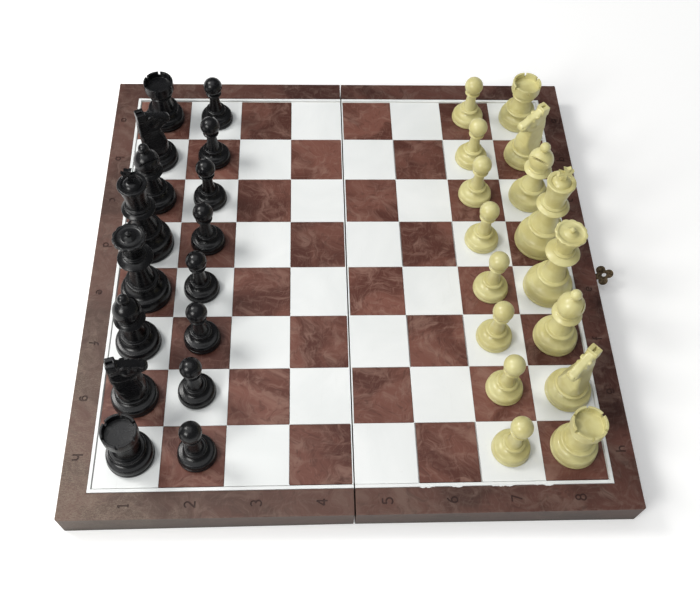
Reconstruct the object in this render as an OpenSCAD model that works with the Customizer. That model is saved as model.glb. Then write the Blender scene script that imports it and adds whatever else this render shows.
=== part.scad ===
// Folding chess board with storage trays, and its thirty-two chessmen.
// Origin: bottom centre of the open board. +X towards the cream side, +Y away from
// the player at the front, +Z up. The right tray folds down and under about the seam.

/* [Board] */
// Side of one playing square
square = 38; // [35:0.5:50]
// Height of the open board
board_t = 20; // [17:0.5:26]
// Width of the brown border around the playing field
border_w = 16; // [13:0.5:22]
// Width of the raised white rim around the playing field
rim_w = 2; // [1.5:0.1:3]
// Height of the raised white rim above the squares
rim_h = 0.8; // [0.4:0.1:1.2]
// Width of the groove between the squares and the rim
groove_w = 0.5; // [0.3:0.1:0.8]
// Gap between the two halves at the seam
seam_gap = 0.8; // [0.4:0.1:1.4]
// Radius of the board's upright corners
corner_r = 1.5; // [0.5:0.1:3]

/* [Tray] */
// Thickness of the outer walls
wall_t = 3; // [2:0.1:4]
// Thickness of the wall along the seam
seam_wall_t = 4; // [3:0.1:6]
// Depth of the squares below the top of the border
field_drop = 0.4; // [0.2:0.1:0.8]
// Thickness of the white panel
panel_t = 2.4; // [2:0.1:3.2]
// Gap around the white panel in its frame
panel_fit = 0.1; // [0.05:0.05:0.3]
// Width of the ledge that carries the white panel
ledge_w = 5; // [3:0.5:8]
// Thickness of the ledge
ledge_t = 2; // [1.5:0.1:3]
// Thickness of the brown squares let into the panel
inlay_t = 1.2; // [0.8:0.1:1.6]
// Gap around each brown square in its pocket
inlay_fit = 0.15; // [0.1:0.05:0.3]
// Corner radius of the brown squares
inlay_r = 0.4; // [0.2:0.1:1]
// White edge left between a pocket and the seam
seam_lip = 0.8; // [0.6:0.1:1.4]

/* [Hinges] */
// Distance of each hinge from the middle of the board
hinge_y = 104; // [80:1:120]
// Length of a hinge barrel
hinge_len = 30; // [24:1:40]
// Number of knuckles in a hinge
knuckles = 5; // [3:2:7]
// Radius of a knuckle
knuckle_r = 1.7; // [1.4:0.1:2]
// Gap between two knuckles
knuckle_gap = 0.2; // [0.1:0.05:0.4]
// Radius of a hinge pin
hinge_pin_r = 0.8; // [0.6:0.05:0.9]
// Height of the barrels above the table
barrel_lift = 0.2; // [0.1:0.1:0.8]
// Reach of a leaf from the axis
leaf_w = 14; // [11:0.5:20]
// Thickness of a leaf
leaf_t = 0.8; // [0.6:0.1:1]
// Free space around the barrel
barrel_clear = 0.4; // [0.3:0.05:0.6]

/* [Fasteners] */
// Radius of a hinge screw
screw_r = 1; // [0.8:0.1:1.2]
// Radius of a hinge screw's head
screw_head_r = 2; // [1.7:0.1:2.4]
// Length of a hinge screw
screw_len = 6; // [4:0.5:8]
// Radius of a latch nail
nail_r = 0.45; // [0.35:0.05:0.6]
// Plastic left behind the point of a latch nail
nail_cover = 0.6; // [0.4:0.1:1]
// Radius of a latch nail's head
nail_head_r = 0.95; // [0.8:0.05:1.2]
// Radial clearance of every turning pin
pin_clear = 0.05; // [0.02:0.01:0.08]

/* [Latch] */
// Position of the latch along the side, from the middle
latch_y = -1; // [-30:1:30]
// Height of the hasp's pin
hasp_z = 5.5; // [5:0.1:6.5]
// Distance from the hasp's pin to its hole
hasp_reach = 9; // [8.5:0.1:10]
// Upward tilt of the open hasp
hasp_tilt = 25; // [0:1:45]
// Thickness of the hasp
hasp_t = 0.9; // [0.7:0.1:1.2]
// Radius of the hole in the hasp
hasp_hole_r = 1.6; // [1.5:0.1:1.9]
// Radius of the catch stud
stud_r = 1; // [0.7:0.1:1.1]
// Radius of the latch's knuckles
latch_knuckle_r = 1.3; // [1.2:0.05:1.5]
// Radius of the latch pin
latch_pin_r = 0.6; // [0.5:0.05:0.7]
// Length of the hasp's own knuckle
hasp_knuckle_len = 5; // [4:0.5:8]
// Thickness of the latch plate and of the catch plate
latch_plate_t = 0.8; // [0.6:0.1:1]

/* [Pawn] */
// Base diameter of a pawn
pawn_base_d = 23.5; // [20:0.5:28]
// Height of a pawn
pawn_h = 40.5; // [34:0.5:48]
// Diameter of a pawn's ball
pawn_ball_d = 13.2; // [11:0.1:15]

/* [Rook] */
// Base diameter of a rook
rook_base_d = 28.4; // [25:0.2:32]
// Height of a rook
rook_h = 38.5; // [34:0.5:46]
// Diameter of a rook's turret
rook_top_d = 20.8; // [18:0.2:24]
// Depth of the hollow in a rook's turret
rook_hollow = 5; // [3:0.5:7]
// Width of the slots in a rook's turret
crenel_w = 1.8; // [1.2:0.1:3]

/* [Knight] */
// Base diameter of a knight
knight_base_d = 28.8; // [25:0.2:32]
// Height of a knight
knight_h = 50; // [44:0.5:58]
// Width of a knight's head
knight_head_w = 7; // [5:0.5:9]

/* [Bishop] */
// Base diameter of a bishop
bishop_base_d = 28.6; // [25:0.2:32]
// Height of a bishop
bishop_h = 57.2; // [50:0.2:64]
// Diameter of a bishop's mitre
mitre_d = 17.2; // [14:0.2:20]
// Width of the slit in a bishop's mitre
slit_w = 1.4; // [1:0.1:2]

/* [Queen] */
// Base diameter of a queen
queen_base_d = 32.8; // [28:0.2:36]
// Height of a queen
queen_h = 68.2; // [60:0.2:76]
// Diameter of a queen's crown
crown_d = 20.6; // [17:0.2:24]
// Number of scallops around a queen's crown
scallops = 12; // [8:1:16]

/* [King] */
// Base diameter of a king
king_base_d = 34; // [29:0.2:37]
// Height of a king
king_h = 79; // [70:0.5:88]
// Diameter of a king's head
king_head_d = 18.8; // [16:0.2:22]
// Span of the cross on a king
cross_w = 9.6; // [8:0.2:12]

/* [Placing] */
// Share of the noted off-centre placing that the chessmen keep, 0 is dead centre
placing = 1; // [0:0.1:1]

/* [Hidden] */
$fn = 64;
eps = 0.01;
files = 8;
half_files = files / 2;
// Playing field and outline of the board
field_half = half_files * square;
panel_half = field_half + rim_w + groove_w;
half_w = panel_half + border_w;
half_l = half_w;
seam_x = seam_gap / 2;
// Levels
field_z = board_t - field_drop;
panel_z = field_z - panel_t;
ledge_z = panel_z - ledge_t;
inlay_z = field_z - inlay_t;
// Hinge axis, on the closing plane that runs down to the foot of the outer wall
hinge_z = knuckle_r + barrel_lift;
// Distance that each half keeps from the closing plane near the axis
relief = 0.1;
// Hinge leaves lie just above the closing plane
leaf_z = hinge_z + relief;
leaf_top = leaf_z + leaf_t;
leaf_fit = 0.3;
leaf_edge = 5;
leaf_hole_x = leaf_w - leaf_edge;
leaf_hole_y = hinge_len / 2 - leaf_edge - 1;
pitch = hinge_len / knuckles;
// Block of plastic around the screws of one leaf
block_margin = 3;
block_w = leaf_w + block_margin;
block_l = hinge_len + 2 * block_margin;
block_h = screw_len + 1.5;
screw_slot_w = 0.5;
screw_slot_d = 0.4;
// Latch, on the right outer wall
nail_len = wall_t - nail_cover;
nail_head_h = 0.5;
nail_head_round = 1.11;
plate_half_l = 8;
plate_top = 5.5;
plate_nail_in = 1.6;
plate_nail_up = 3.4;
latch_x = half_w + latch_plate_t + latch_knuckle_r;
lug_len = 3;
lug_gap = 0.2;
pin_end = 0.3;
// Catch, on the left outer wall, where the hasp's hole comes when the board is shut
closing_gap = 0.4;
stud_z = hasp_reach - hasp_z - closing_gap;
stud_end = 0.9;
stud_len = latch_knuckle_r + hasp_t / 2 + stud_end;
stud_root = 1.6;
catch_half_l = 6.5;
catch_foot = 0.7;
catch_nail_in = 1.5;
catch_nail_up = 2;
catch_plate_h = stud_z + 3;
// Lobes of the flower around the hasp's hole
hub_r = 3.8;
lobe_r = 3.2;
side_lobe_y = 4.4;
side_lobe_x = 1.5;
end_lobe_x = 3.2;
tongue_half = 2.3;
// Details that every turned foot shares
foot_edge = 0.7;
plinth_h = 2.4;
groove_d = 0.6;
ring_t = 1.8;

BACK = ["rook", "knight", "bishop", "queen", "king", "bishop", "knight", "rook"];
BACK_NAMES = ["front_rook", "front_knight", "front_bishop", "queen",
              "king", "back_bishop", "back_knight", "back_rook"];

// How far each man stands from the middle of its square, front row to back row
black_back_off = [[1.5, 1], [0.5, 0.5], [-1, 0], [0.5, -0.5], [-1.5, 0.5], [0, 1], [-1.5, 0.5], [0.5, 1]];
black_pawn_off = [[2.5, 1], [0, 3], [1, 2.5], [-1.5, 2], [0.5, 2], [0, 1], [1, 1], [1, 1]];
cream_pawn_off = [[0, 1], [1, 2.5], [-1, 1.5], [1, 0.5], [-0.5, 2.5], [-1, 4], [0, 0.5], [1.5, 3]];
cream_back_off = [[0.5, 1.5], [3, 0.5], [1, 1], [2, 1.5], [2, 2], [0, 2.5], [1.5, 2.5], [2, 2]];
// Directions the knights face, front one and back one
black_knight_turn = [15, 25];
cream_knight_turn = [222, 212];
black_file = 0;
cream_file = 7;

// ---------- the board ----------

// Turns something made for the left half into its mirror image on the right
module on_right() {
    mirror([1, 0, 0]) children();
}

// Plan of one half, with its two outer corners rounded
module half_plan() {
    difference() {
        translate([-half_w, -half_l])
            square([half_w - seam_x, 2 * half_l]);
        for (s = [-1, 1])
            translate([-half_w, s * half_l])
                difference() {
                    translate([-eps, s > 0 ? -corner_r : -eps])
                        square([corner_r + eps, corner_r + eps]);
                    translate([corner_r, -s * corner_r])
                        circle(corner_r);
                }
    }
}

// Block below the closing plane of the left half, to be cut away
module closing_wedge() {
    rotate([90, 0, 0])
        linear_extrude(2 * half_l + 10, center = true)
            polygon([[2, -5], [2, hinge_z + relief], [0, hinge_z + relief],
                     [-half_w + wall_t, (hinge_z + relief) * wall_t / half_w], [-half_w + wall_t, -5]]);
}

module hinge_places() {
    for (s = [-1, 1])
        translate([0, s * hinge_y, 0]) children();
}

module leaf_screw_places() {
    hinge_places()
        for (s = [-1, 1])
            translate([-leaf_hole_x, s * leaf_hole_y, leaf_z]) children();
}

module barrel_space() {
    translate([0, 0, hinge_z])
        rotate([90, 0, 0])
            cylinder(h = hinge_len + 2 * barrel_clear, r = knuckle_r + barrel_clear, center = true);
}

// Moulded brown frame with its tray, left half
module tray_frame() {
    inner_x = -half_w + wall_t;
    opening_x = -panel_half + ledge_w;
    difference() {
        union() {
            difference() {
                linear_extrude(board_t) half_plan();
                // storage hollow
                translate([inner_x, -half_l + wall_t, -eps])
                    cube([half_w - wall_t - seam_x - seam_wall_t, 2 * (half_l - wall_t), ledge_z + eps]);
                // opening inside the ledge
                translate([opening_x, -panel_half + ledge_w, ledge_z - eps])
                    cube([panel_half - ledge_w - seam_x - seam_wall_t, 2 * (panel_half - ledge_w),
                          ledge_t + 2 * eps]);
                // seat of the white panel
                translate([-panel_half - panel_fit, -panel_half - panel_fit, panel_z])
                    cube([panel_half + panel_fit + 1, 2 * (panel_half + panel_fit), board_t]);
            }
            // blocks that take the hinge screws
            hinge_places()
                translate([-block_w - seam_x, -block_l / 2, leaf_top])
                    cube([block_w, block_l, block_h]);
        }
        closing_wedge();
        // seats of the leaves
        hinge_places()
            translate([-leaf_w - leaf_fit, -hinge_len / 2 - leaf_fit, -1])
                cube([leaf_w + leaf_fit, hinge_len + 2 * leaf_fit, leaf_top + 1]);
        hinge_places() barrel_space();
        leaf_screw_places()
            cylinder(h = screw_len + leaf_t, r = screw_r);
    }
}

module left_frame() {
    color("#6b4038")
        difference() {
            tray_frame();
            catch_nail_places() nail_hole();
            catch_stud_shape();
        }
}

module right_frame() {
    color("#6b4038")
        difference() {
            on_right() tray_frame();
            latch_nail_places() nail_hole();
        }
}

function is_brown(file, row) = (file + row) % 2 == 1;

// Plan of one brown square with a gap around it, or of its pocket when the gap is 0
module inlay_plan(gap, seam_side) {
    low_x = gap + (seam_side == "low" ? seam_lip + seam_x : 0);
    high_x = square - gap - (seam_side == "high" ? seam_lip + seam_x : 0);
    r = inlay_r;
    difference() {
        translate([low_x, gap]) square([high_x - low_x, square - 2 * gap]);
        for (x = [low_x, high_x], y = [gap, square - gap])
            translate([x, y]) rotate(45) square([r, r], center = true);
    }
}

function seam_side(file) = file == half_files - 1 ? "high" : file == half_files ? "low" : "none";

// All the brown squares of one half
module brown_squares(first_file, gap, height) {
    for (file = [first_file:first_file + half_files - 1], row = [0:files - 1])
        if (is_brown(file, row))
            translate([(file - half_files) * square, (row - half_files) * square, inlay_z])
                linear_extrude(height) inlay_plan(gap, seam_side(file));
}

// White panel of the left half, before its pockets are cut
module white_panel_blank() {
    rim_in = field_half + groove_w;
    difference() {
        translate([-panel_half, -panel_half, panel_z])
            cube([panel_half - seam_x, 2 * panel_half, panel_t + rim_h]);
        // the field, level with the squares
        translate([-rim_in, -rim_in, field_z])
            cube([rim_in + 1, 2 * rim_in, rim_h + 1]);
        // groove along the inside of the rim
        difference() {
            translate([-rim_in, -rim_in, field_z - groove_w])
                cube([rim_in + 1, 2 * rim_in, rim_h + 1]);
            translate([-field_half, -field_half, field_z - 1])
                cube([field_half + 2, 2 * field_half, rim_h + 3]);
        }
    }
}

module left_white_panel() {
    color("#e9ebea")
        difference() {
            white_panel_blank();
            brown_squares(0, 0, inlay_t + 1);
        }
}

module right_white_panel() {
    color("#e9ebea")
        difference() {
            on_right() white_panel_blank();
            brown_squares(half_files, 0, inlay_t + 1);
        }
}

module left_brown_squares() {
    color("#6e443c") brown_squares(0, inlay_fit, inlay_t);
}

module right_brown_squares() {
    color("#6e443c") brown_squares(half_files, inlay_fit, inlay_t);
}

// ---------- the hinges ----------

// Knuckles number first, first + 2, ... of one hinge, grown by a radial and an axial amount
module knuckle_row(first, grow_r, grow_l) {
    for (i = [first:2:knuckles - 1])
        translate([0, -hinge_len / 2 + (i + 0.5) * pitch, hinge_z])
            rotate([90, 0, 0])
                cylinder(h = pitch - knuckle_gap + 2 * grow_l, r = knuckle_r + grow_r, center = true);
}

// One leaf on the left side that owns the knuckles starting at first
module leaf(first, bore_r) {
    difference() {
        union() {
            translate([-leaf_w, -hinge_len / 2, leaf_z])
                cube([leaf_w, hinge_len, leaf_t]);
            knuckle_row(first, 0, 0);
        }
        knuckle_row(1 - first, leaf_fit, knuckle_gap);
        translate([0, 0, hinge_z])
            rotate([90, 0, 0])
                cylinder(h = hinge_len + 2, r = bore_r, center = true);
        // countersunk screw holes
        for (s = [-1, 1])
            translate([-leaf_hole_x, s * leaf_hole_y, leaf_z])
                cylinder(h = leaf_t, r1 = screw_head_r, r2 = screw_r);
    }
}

module left_hinge_leaves() {
    color("#a8843c") hinge_places() leaf(0, hinge_pin_r);
}

module right_hinge_leaves() {
    color("#a8843c") on_right() hinge_places() leaf(1, hinge_pin_r + pin_clear);
}

module hinge_pins() {
    color("#b9b4a8")
        hinge_places()
            translate([0, 0, hinge_z])
                rotate([90, 0, 0])
                    cylinder(h = hinge_len + 0.4, r = hinge_pin_r, center = true);
}

module leaf_screw() {
    difference() {
        union() {
            cylinder(h = leaf_t, r1 = screw_head_r, r2 = screw_r);
            cylinder(h = screw_len, r = screw_r);
        }
        translate([-screw_head_r, -screw_slot_w / 2, -eps])
            cube([2 * screw_head_r, screw_slot_w, screw_slot_d]);
    }
}

module left_hinge_screws() {
    color("#c0a050") leaf_screw_places() leaf_screw();
}

module right_hinge_screws() {
    color("#c0a050") on_right() leaf_screw_places() leaf_screw();
}

// ---------- the latch ----------

module latch_nail_places() {
    for (s = [-1, 1])
        translate([half_w + latch_plate_t, latch_y + s * (plate_half_l - plate_nail_in),
                   hasp_z + plate_nail_up])
            rotate([0, 90, 0]) children();
}

module catch_nail_places() {
    for (s = [-1, 1])
        translate([-half_w - latch_plate_t, latch_y + s * (catch_half_l - catch_nail_in),
                   stud_z + catch_nail_up])
            rotate([0, -90, 0]) children();
}

module nail_hole() {
    translate([0, 0, -nail_len - latch_plate_t])
        cylinder(h = nail_len + latch_plate_t + 1, r = nail_r);
}

module latch_nail() {
    translate([0, 0, -nail_len])
        cylinder(h = nail_len + eps, r = nail_r);
    intersection() {
        translate([0, 0, nail_head_h - nail_head_r])
            sphere(r = nail_head_r * nail_head_round);
        cylinder(h = 1, r = nail_head_r);
    }
}

// A cylinder along Y on the hasp's axis, from y0 to y1
module latch_round(r, y0, y1) {
    translate([latch_x, latch_y + y1, hasp_z])
        rotate([90, 0, 0])
            cylinder(h = y1 - y0, r = r);
}

module latch_plate() {
    lug_in = hasp_knuckle_len / 2 + lug_gap;
    color("#5a4526")
        difference() {
            union() {
                translate([half_w, latch_y - plate_half_l, hasp_z - latch_knuckle_r])
                    cube([latch_plate_t, 2 * plate_half_l, latch_knuckle_r + plate_top]);
                for (s = [-1, 1]) {
                    y0 = s > 0 ? lug_in : -lug_in - lug_len;
                    latch_round(latch_knuckle_r, y0, y0 + lug_len);
                    translate([half_w, latch_y + y0, hasp_z - latch_knuckle_r])
                        cube([latch_plate_t + latch_knuckle_r, lug_len, latch_knuckle_r]);
                }
            }
            latch_round(latch_pin_r, -plate_half_l, plate_half_l);
            latch_nail_places() nail_hole();
        }
}

module latch_nails() {
    color("#6a5230") latch_nail_places() latch_nail();
}

module latch_pin() {
    reach = hasp_knuckle_len / 2 + lug_gap + lug_len + pin_end;
    color("#6a5230") latch_round(latch_pin_r, -reach, reach);
}

// Plan of the hasp along +X from its axis
module hasp_plan() {
    difference() {
        union() {
            translate([0, -tongue_half]) square([hasp_reach, 2 * tongue_half]);
            translate([hasp_reach, 0]) circle(hub_r);
            translate([hasp_reach + end_lobe_x, 0]) circle(lobe_r);
            for (s = [-1, 1])
                translate([hasp_reach - side_lobe_x, s * side_lobe_y]) circle(lobe_r);
        }
        translate([hasp_reach, 0]) circle(hasp_hole_r);
    }
}

module latch_hasp() {
    half = hasp_knuckle_len / 2;
    color("#4d3a20")
        difference() {
            union() {
                translate([latch_x, latch_y, hasp_z])
                    rotate([0, -hasp_tilt, 0])
                        translate([0, 0, -hasp_t / 2])
                            linear_extrude(hasp_t) hasp_plan();
                latch_round(latch_knuckle_r, -half, half);
            }
            latch_round(latch_pin_r + pin_clear, -plate_half_l, plate_half_l);
        }
}

// Shank of the catch stud, from inside the wall to its free end
module catch_stud_shape() {
    translate([-half_w + stud_root, latch_y, stud_z])
        rotate([0, -90, 0])
            cylinder(h = stud_root + latch_plate_t + stud_len, r = stud_r);
}

module catch_plate() {
    color("#5a4526")
        difference() {
            union() {
                translate([-half_w - latch_plate_t, latch_y - catch_half_l, catch_foot])
                    cube([latch_plate_t, 2 * catch_half_l, catch_plate_h]);
                catch_stud_shape();
            }
            catch_nail_places() nail_hole();
        }
}

module catch_nails() {
    color("#6a5230") catch_nail_places() latch_nail();
}

// ---------- the chessmen ----------

// Points of an elliptical arc about [cx, cz], from angle a0 to a1 in n steps
function arc(cx, cz, rx, rz, a0, a1, n) =
    [for (i = [0:n]) let (a = a0 + (a1 - a0) * i / n) [cx + rx * cos(a), cz + rz * sin(a)]];

// Points of a curve from p to q that leaves along u and arrives along v
function sweep(p, u, v, q, n) =
    [for (i = [0:n]) let (t = i / n, s = 1 - t)
        s * s * s * p + 3 * s * s * t * (p + u) + 3 * s * t * t * (q - v) + t * t * t * q];

// Half outline of a turned foot: plinth, groove, round shoulder, cove and ring
function foot(base_r, shoulder_z, ring_r, ring_z) =
    let (gz = plinth_h + groove_d,
         top_r = base_r - (base_r - ring_r) * 0.5)
    concat(
        [[0, 0], [base_r - foot_edge, 0], [base_r, foot_edge], [base_r, plinth_h],
         [base_r - groove_d, plinth_h + groove_d / 2], [base_r - groove_d, gz]],
        arc(top_r, gz, base_r - 0.2 - top_r, shoulder_z - gz, 0, 80, 7),
        sweep([top_r - 0.6, shoulder_z + 0.1], [-1.6, 0.5],
              [0.2, 1.6], [ring_r - ring_t / 2 - 0.5, ring_z - ring_t / 2], 5),
        arc(ring_r - ring_t / 2, ring_z, ring_t / 2, ring_t / 2, -90, 90, 6));

// Half outline of a collar: a lipped disc that slopes up to a neck
function collar(r, z, t, neck_r, neck_z) =
    concat(arc(r - t / 2, z, t / 2, t / 2, -100, 70, 5),
           [[neck_r + (r - neck_r) * 0.35, neck_z - 0.5], [neck_r, neck_z]]);

module turn(points) {
    rotate_extrude() polygon(points);
}

module pawn() {
    h = pawn_h;
    br = pawn_ball_d / 2;
    bz = h - br;
    base_r = pawn_base_d / 2;
    stem_r = 3.4;
    turn(concat(
        foot(base_r, 6.6, base_r * 0.6, 11.6),
        sweep([5, 12.4], [-1, 3], [0, 5], [stem_r, bz - br - 1.6], 6),
        collar(base_r * 0.52, bz - br + 0.1, 1.3, stem_r + 0.2, bz - br + 1.5),
        arc(0, bz, br, br, -60, 90, 16)));
}

module rook() {
    h = rook_h;
    r = rook_top_d / 2;
    base_r = rook_base_d / 2;
    bore_r = r - 2.2;
    slots = 6;
    slot_d = 3;
    difference() {
        turn(concat(
            foot(base_r, 7.4, base_r * 0.77, 13.2),
            sweep([8.4, 14.1], [-1, 3], [0, 4], [6.8, h - 14], 6),
            collar(8.2, h - 12.6, 1.4, 7.2, h - 11.2),
            sweep([7.4, h - 11], [0.4, 1.6], [0.6, 1.8], [r - 0.2, h - 7.4], 5),
            [[r, h - 6.6], [r, h - 0.4], [r - 0.4, h], [0, h]]));
        translate([0, 0, h - rook_hollow])
            cylinder(h = rook_hollow + 1, r = bore_r);
        for (i = [0:slots / 2 - 1])
            rotate([0, 0, 30 + i * 360 / slots])
                translate([-r - 1, -crenel_w / 2, h - slot_d])
                    cube([2 * r + 2, crenel_w, slot_d + 1]);
    }
}

module bishop() {
    h = bishop_h;
    base_r = bishop_base_d / 2;
    ball_r = 3.6;
    mr = mitre_d / 2;
    mz = h - 15.6;
    top_z = h - 2 * ball_r;
    difference() {
        turn(concat(
            foot(base_r, 7.6, base_r * 0.67, 14),
            sweep([7.2, 14.9], [-1.4, 4], [0, 6], [4.3, h - 27], 7),
            collar(base_r * 0.73, h - 25.2, 1.5, 6.2, h - 22.8),
            [[6.2, h - 22], [5.4, h - 21.6]],
            sweep([5.4, h - 21.6], [2, 1], [0, -2], [mr, mz], 5),
            sweep([mr, mz], [0, 3.6], [-2, 2.2], [2, top_z + 0.2], 8),
            arc(0, h - ball_r, ball_r, ball_r, -55, 90, 12)));
        translate([mr * 0.45, 0, mz + 3])
            rotate([0, 35, 0])
                translate([0, -mr - 1, 0])
                    cube([slit_w, 2 * mr + 2, mr * 1.5]);
    }
}

module queen() {
    h = queen_h;
    base_r = queen_base_d / 2;
    r = crown_d / 2;
    rim_z = h - 4.2;
    notch_r = 1.1;
    difference() {
        turn(concat(
            foot(base_r, 9.4, base_r * 0.66, 18),
            sweep([8.2, 18.9], [-1.4, 5], [0, 7], [5.2, h - 28], 8),
            collar(base_r * 0.68, h - 25.7, 1.6, 6.8, h - 22.6),
            [[6.8, h - 21.6], [5.6, h - 21]],
            sweep([5.6, h - 21], [0.2, 6], [2.6, 5], [r - 0.6, rim_z - 2.4], 8),
            [[r, rim_z - 1.4], [r, rim_z - 0.3], [r - 0.6, rim_z], [r - 2, rim_z]],
            sweep([r - 2, rim_z], [-0.8, -1.6], [-1.6, 0.6], [4.4, rim_z - 1.2], 4),
            sweep([4.4, rim_z - 1.2], [-1, 1.6], [-0.8, 0.3], [1.5, rim_z + 1], 4),
            arc(0, h - 1.9, 1.9, 1.9, -38, 90, 8)));
        for (i = [0:scallops - 1])
            rotate([0, 0, (i + 0.5) * 360 / scallops])
                translate([r + notch_r * 0.35, 0, rim_z - 4])
                    cylinder(h = 6, r = notch_r);
    }
}

// Outline of the cross that stands on a king
module cross_plan(w, cross_h) {
    arm = cross_h * 0.58;
    waist = w * 0.1;
    flare = w * 0.24;
    polygon([[-flare, 0], [-waist, arm - waist], [-w / 2, arm - flare], [-w / 2, arm + flare],
             [-waist, arm + waist], [-flare, cross_h], [flare, cross_h], [waist, arm + waist],
             [w / 2, arm + flare], [w / 2, arm - flare], [waist, arm - waist], [flare, 0]]);
}

module king() {
    h = king_h;
    base_r = king_base_d / 2;
    r = king_head_d / 2;
    cross_h = 11.6;
    cross_t = 2.6;
    head_z = h - cross_h - 1.9;
    turn(concat(
        foot(base_r, 10.6, base_r * 0.7, 20),
        sweep([9.4, 20.9], [-1.6, 5], [0, 7], [5.6, h - 40], 8),
        collar(base_r * 0.65, h - 37.5, 1.6, 8.4, h - 35),
        [[8.4, h - 34], [6.8, h - 33.2]],
        sweep([6.8, h - 33.2], [-0.2, 6], [1.2, 6], [r - 0.4, head_z - 1.8], 6),
        [[r, head_z - 1.2], [r, head_z - 0.5], [r - 0.6, head_z], [r - 2.6, head_z], [r - 3.2, head_z - 0.8]],
        sweep([r - 3.2, head_z - 0.8], [-1, 1.8], [-2, 0.6], [2.4, head_z + 2.2], 5),
        [[0, head_z + 2.4]]));
    translate([0, 0, h - cross_h])
        rotate([90, 0, 0])
            linear_extrude(cross_t, center = true) cross_plan(cross_w, cross_h);
}

// Side outline of a knight's neck and head, facing +X
module knight_side() {
    h = knight_h;
    polygon(concat(
        [[-8.8, 11], [8.8, 11]],
        sweep([9, 13], [0.5, 5], [-1, 3], [6.2, h - 20], 6),
        [[6.4, h - 17.6], [9, h - 15.6], [11.6, h - 14.6]],
        arc(11, h - 11.6, 2.7, 3, -60, 80, 5),
        [[8, h - 6.6], [1.6, h - 3.2], [-2, h - 1.4], [-3.2, h]],
        [[-7.6, h], [-8.6, h - 1.2]],
        sweep([-9.2, h - 6], [-0.6, -6], [0.6, -8], [-9, 13], 6)));
}

// Front outline: narrow at the head, spreading down to the foot
module knight_front() {
    h = knight_h;
    w = knight_head_w / 2;
    polygon(concat(
        [[-8.6, 11], [8.6, 11]],
        sweep([8.6, 13], [-0.6, 5], [0, 5], [w + 0.9, h - 17], 6),
        [[w, h - 12], [w, h], [-w, h], [-w, h - 12]],
        sweep([-w - 0.9, h - 17], [0, -5], [-0.6, -5], [-8.6, 13], 6)));
}

module knight() {
    base_r = knight_base_d / 2;
    h = knight_h;
    difference() {
        union() {
            turn(concat(foot(base_r, 7.2, base_r * 0.74, 11.4), [[0, 12.3]]));
            intersection() {
                rotate([90, 0, 0])
                    linear_extrude(20, center = true) knight_side();
                rotate([90, 0, 90])
                    linear_extrude(40, center = true) knight_front();
                union() {
                    cylinder(h = h - 18, r = 9.4);
                    translate([0, 0, h - 18]) cylinder(h = 20, r = 15);
                }
            }
        }
        // slot between the ears
        translate([-10, -0.9, h - 3])
            cube([6.8, 1.8, 4]);
    }
}

module chessman(kind) {
    if (kind == "rook") rook();
    if (kind == "bishop") bishop();
    if (kind == "queen") queen();
    if (kind == "king") king();
}

function base_d(kind) =
    kind == "pawn" ? pawn_base_d : kind == "rook" ? rook_base_d : kind == "knight" ? knight_base_d :
    kind == "bishop" ? bishop_base_d : kind == "queen" ? queen_base_d : king_base_d;

// A distance off centre, short enough to keep a man of this kind off the rim
function short(off, kind) =
    let (most = max(0, square / 2 + groove_w - base_d(kind) / 2))
    placing * max(-most, min(most, off));

// Puts a man on its square
module on_square(kind, file, row, off) {
    translate([(file - half_files + 0.5) * square + short(off[0], kind),
               (row - half_files + 0.5) * square + short(off[1], kind), field_z])
        children();
}

module back_man(file, row, offs, turns) {
    on_square(BACK[row], file, row, offs[row])
        if (BACK[row] == "knight")
            rotate([0, 0, turns[row == 1 ? 0 : 1]]) knight();
        else
            chessman(BACK[row]);
}

module black_man(row) {
    color("#1c1c20") back_man(black_file, row, black_back_off, black_knight_turn);
}

module black_pawn(row) {
    color("#1c1c20") on_square("pawn", black_file + 1, row, black_pawn_off[row]) pawn();
}

module cream_man(row) {
    color("#d9d4a2") back_man(cream_file, row, cream_back_off, cream_knight_turn);
}

module cream_pawn(row) {
    color("#d9d4a2") on_square("pawn", cream_file - 1, row, cream_pawn_off[row]) pawn();
}

left_frame();
right_frame();
left_white_panel();
right_white_panel();
left_brown_squares();
right_brown_squares();
left_hinge_leaves();
right_hinge_leaves();
hinge_pins();
left_hinge_screws();
right_hinge_screws();
latch_plate();
latch_nails();
latch_pin();
latch_hasp();
catch_plate();
catch_nails();
for (row = [0:files - 1]) {
    black_man(row);
    black_pawn(row);
    cream_man(row);
    cream_pawn(row);
}
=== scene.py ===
"""Folding chess board and its thirty-two men: their looks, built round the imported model."""

import math
import random

import bmesh
import bpy
import numpy as np
from mathutils import Matrix, Vector


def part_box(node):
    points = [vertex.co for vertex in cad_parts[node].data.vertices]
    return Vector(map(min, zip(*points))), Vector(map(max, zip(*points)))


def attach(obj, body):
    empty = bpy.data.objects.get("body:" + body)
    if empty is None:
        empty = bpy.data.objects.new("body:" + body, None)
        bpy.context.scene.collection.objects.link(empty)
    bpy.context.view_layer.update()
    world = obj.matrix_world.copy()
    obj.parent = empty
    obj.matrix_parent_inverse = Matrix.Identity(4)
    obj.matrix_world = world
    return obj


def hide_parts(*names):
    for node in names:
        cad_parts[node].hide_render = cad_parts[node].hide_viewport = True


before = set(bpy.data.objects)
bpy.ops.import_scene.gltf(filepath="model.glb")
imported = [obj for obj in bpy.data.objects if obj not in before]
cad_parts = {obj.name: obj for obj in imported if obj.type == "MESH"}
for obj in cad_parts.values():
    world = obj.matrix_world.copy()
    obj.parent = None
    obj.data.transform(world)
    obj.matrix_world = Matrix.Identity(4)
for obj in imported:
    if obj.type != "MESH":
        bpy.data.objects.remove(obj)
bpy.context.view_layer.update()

MM = 0.001

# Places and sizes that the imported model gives, in metres
FRAME_LO, FRAME_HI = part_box("right_frame")
HALF = FRAME_HI.y
TOP = FRAME_HI.z
SEAM = FRAME_LO.x
PANEL_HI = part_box("right_white_panel")[1]
INLAY_LO, INLAY_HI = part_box("right_brown_squares")

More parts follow.
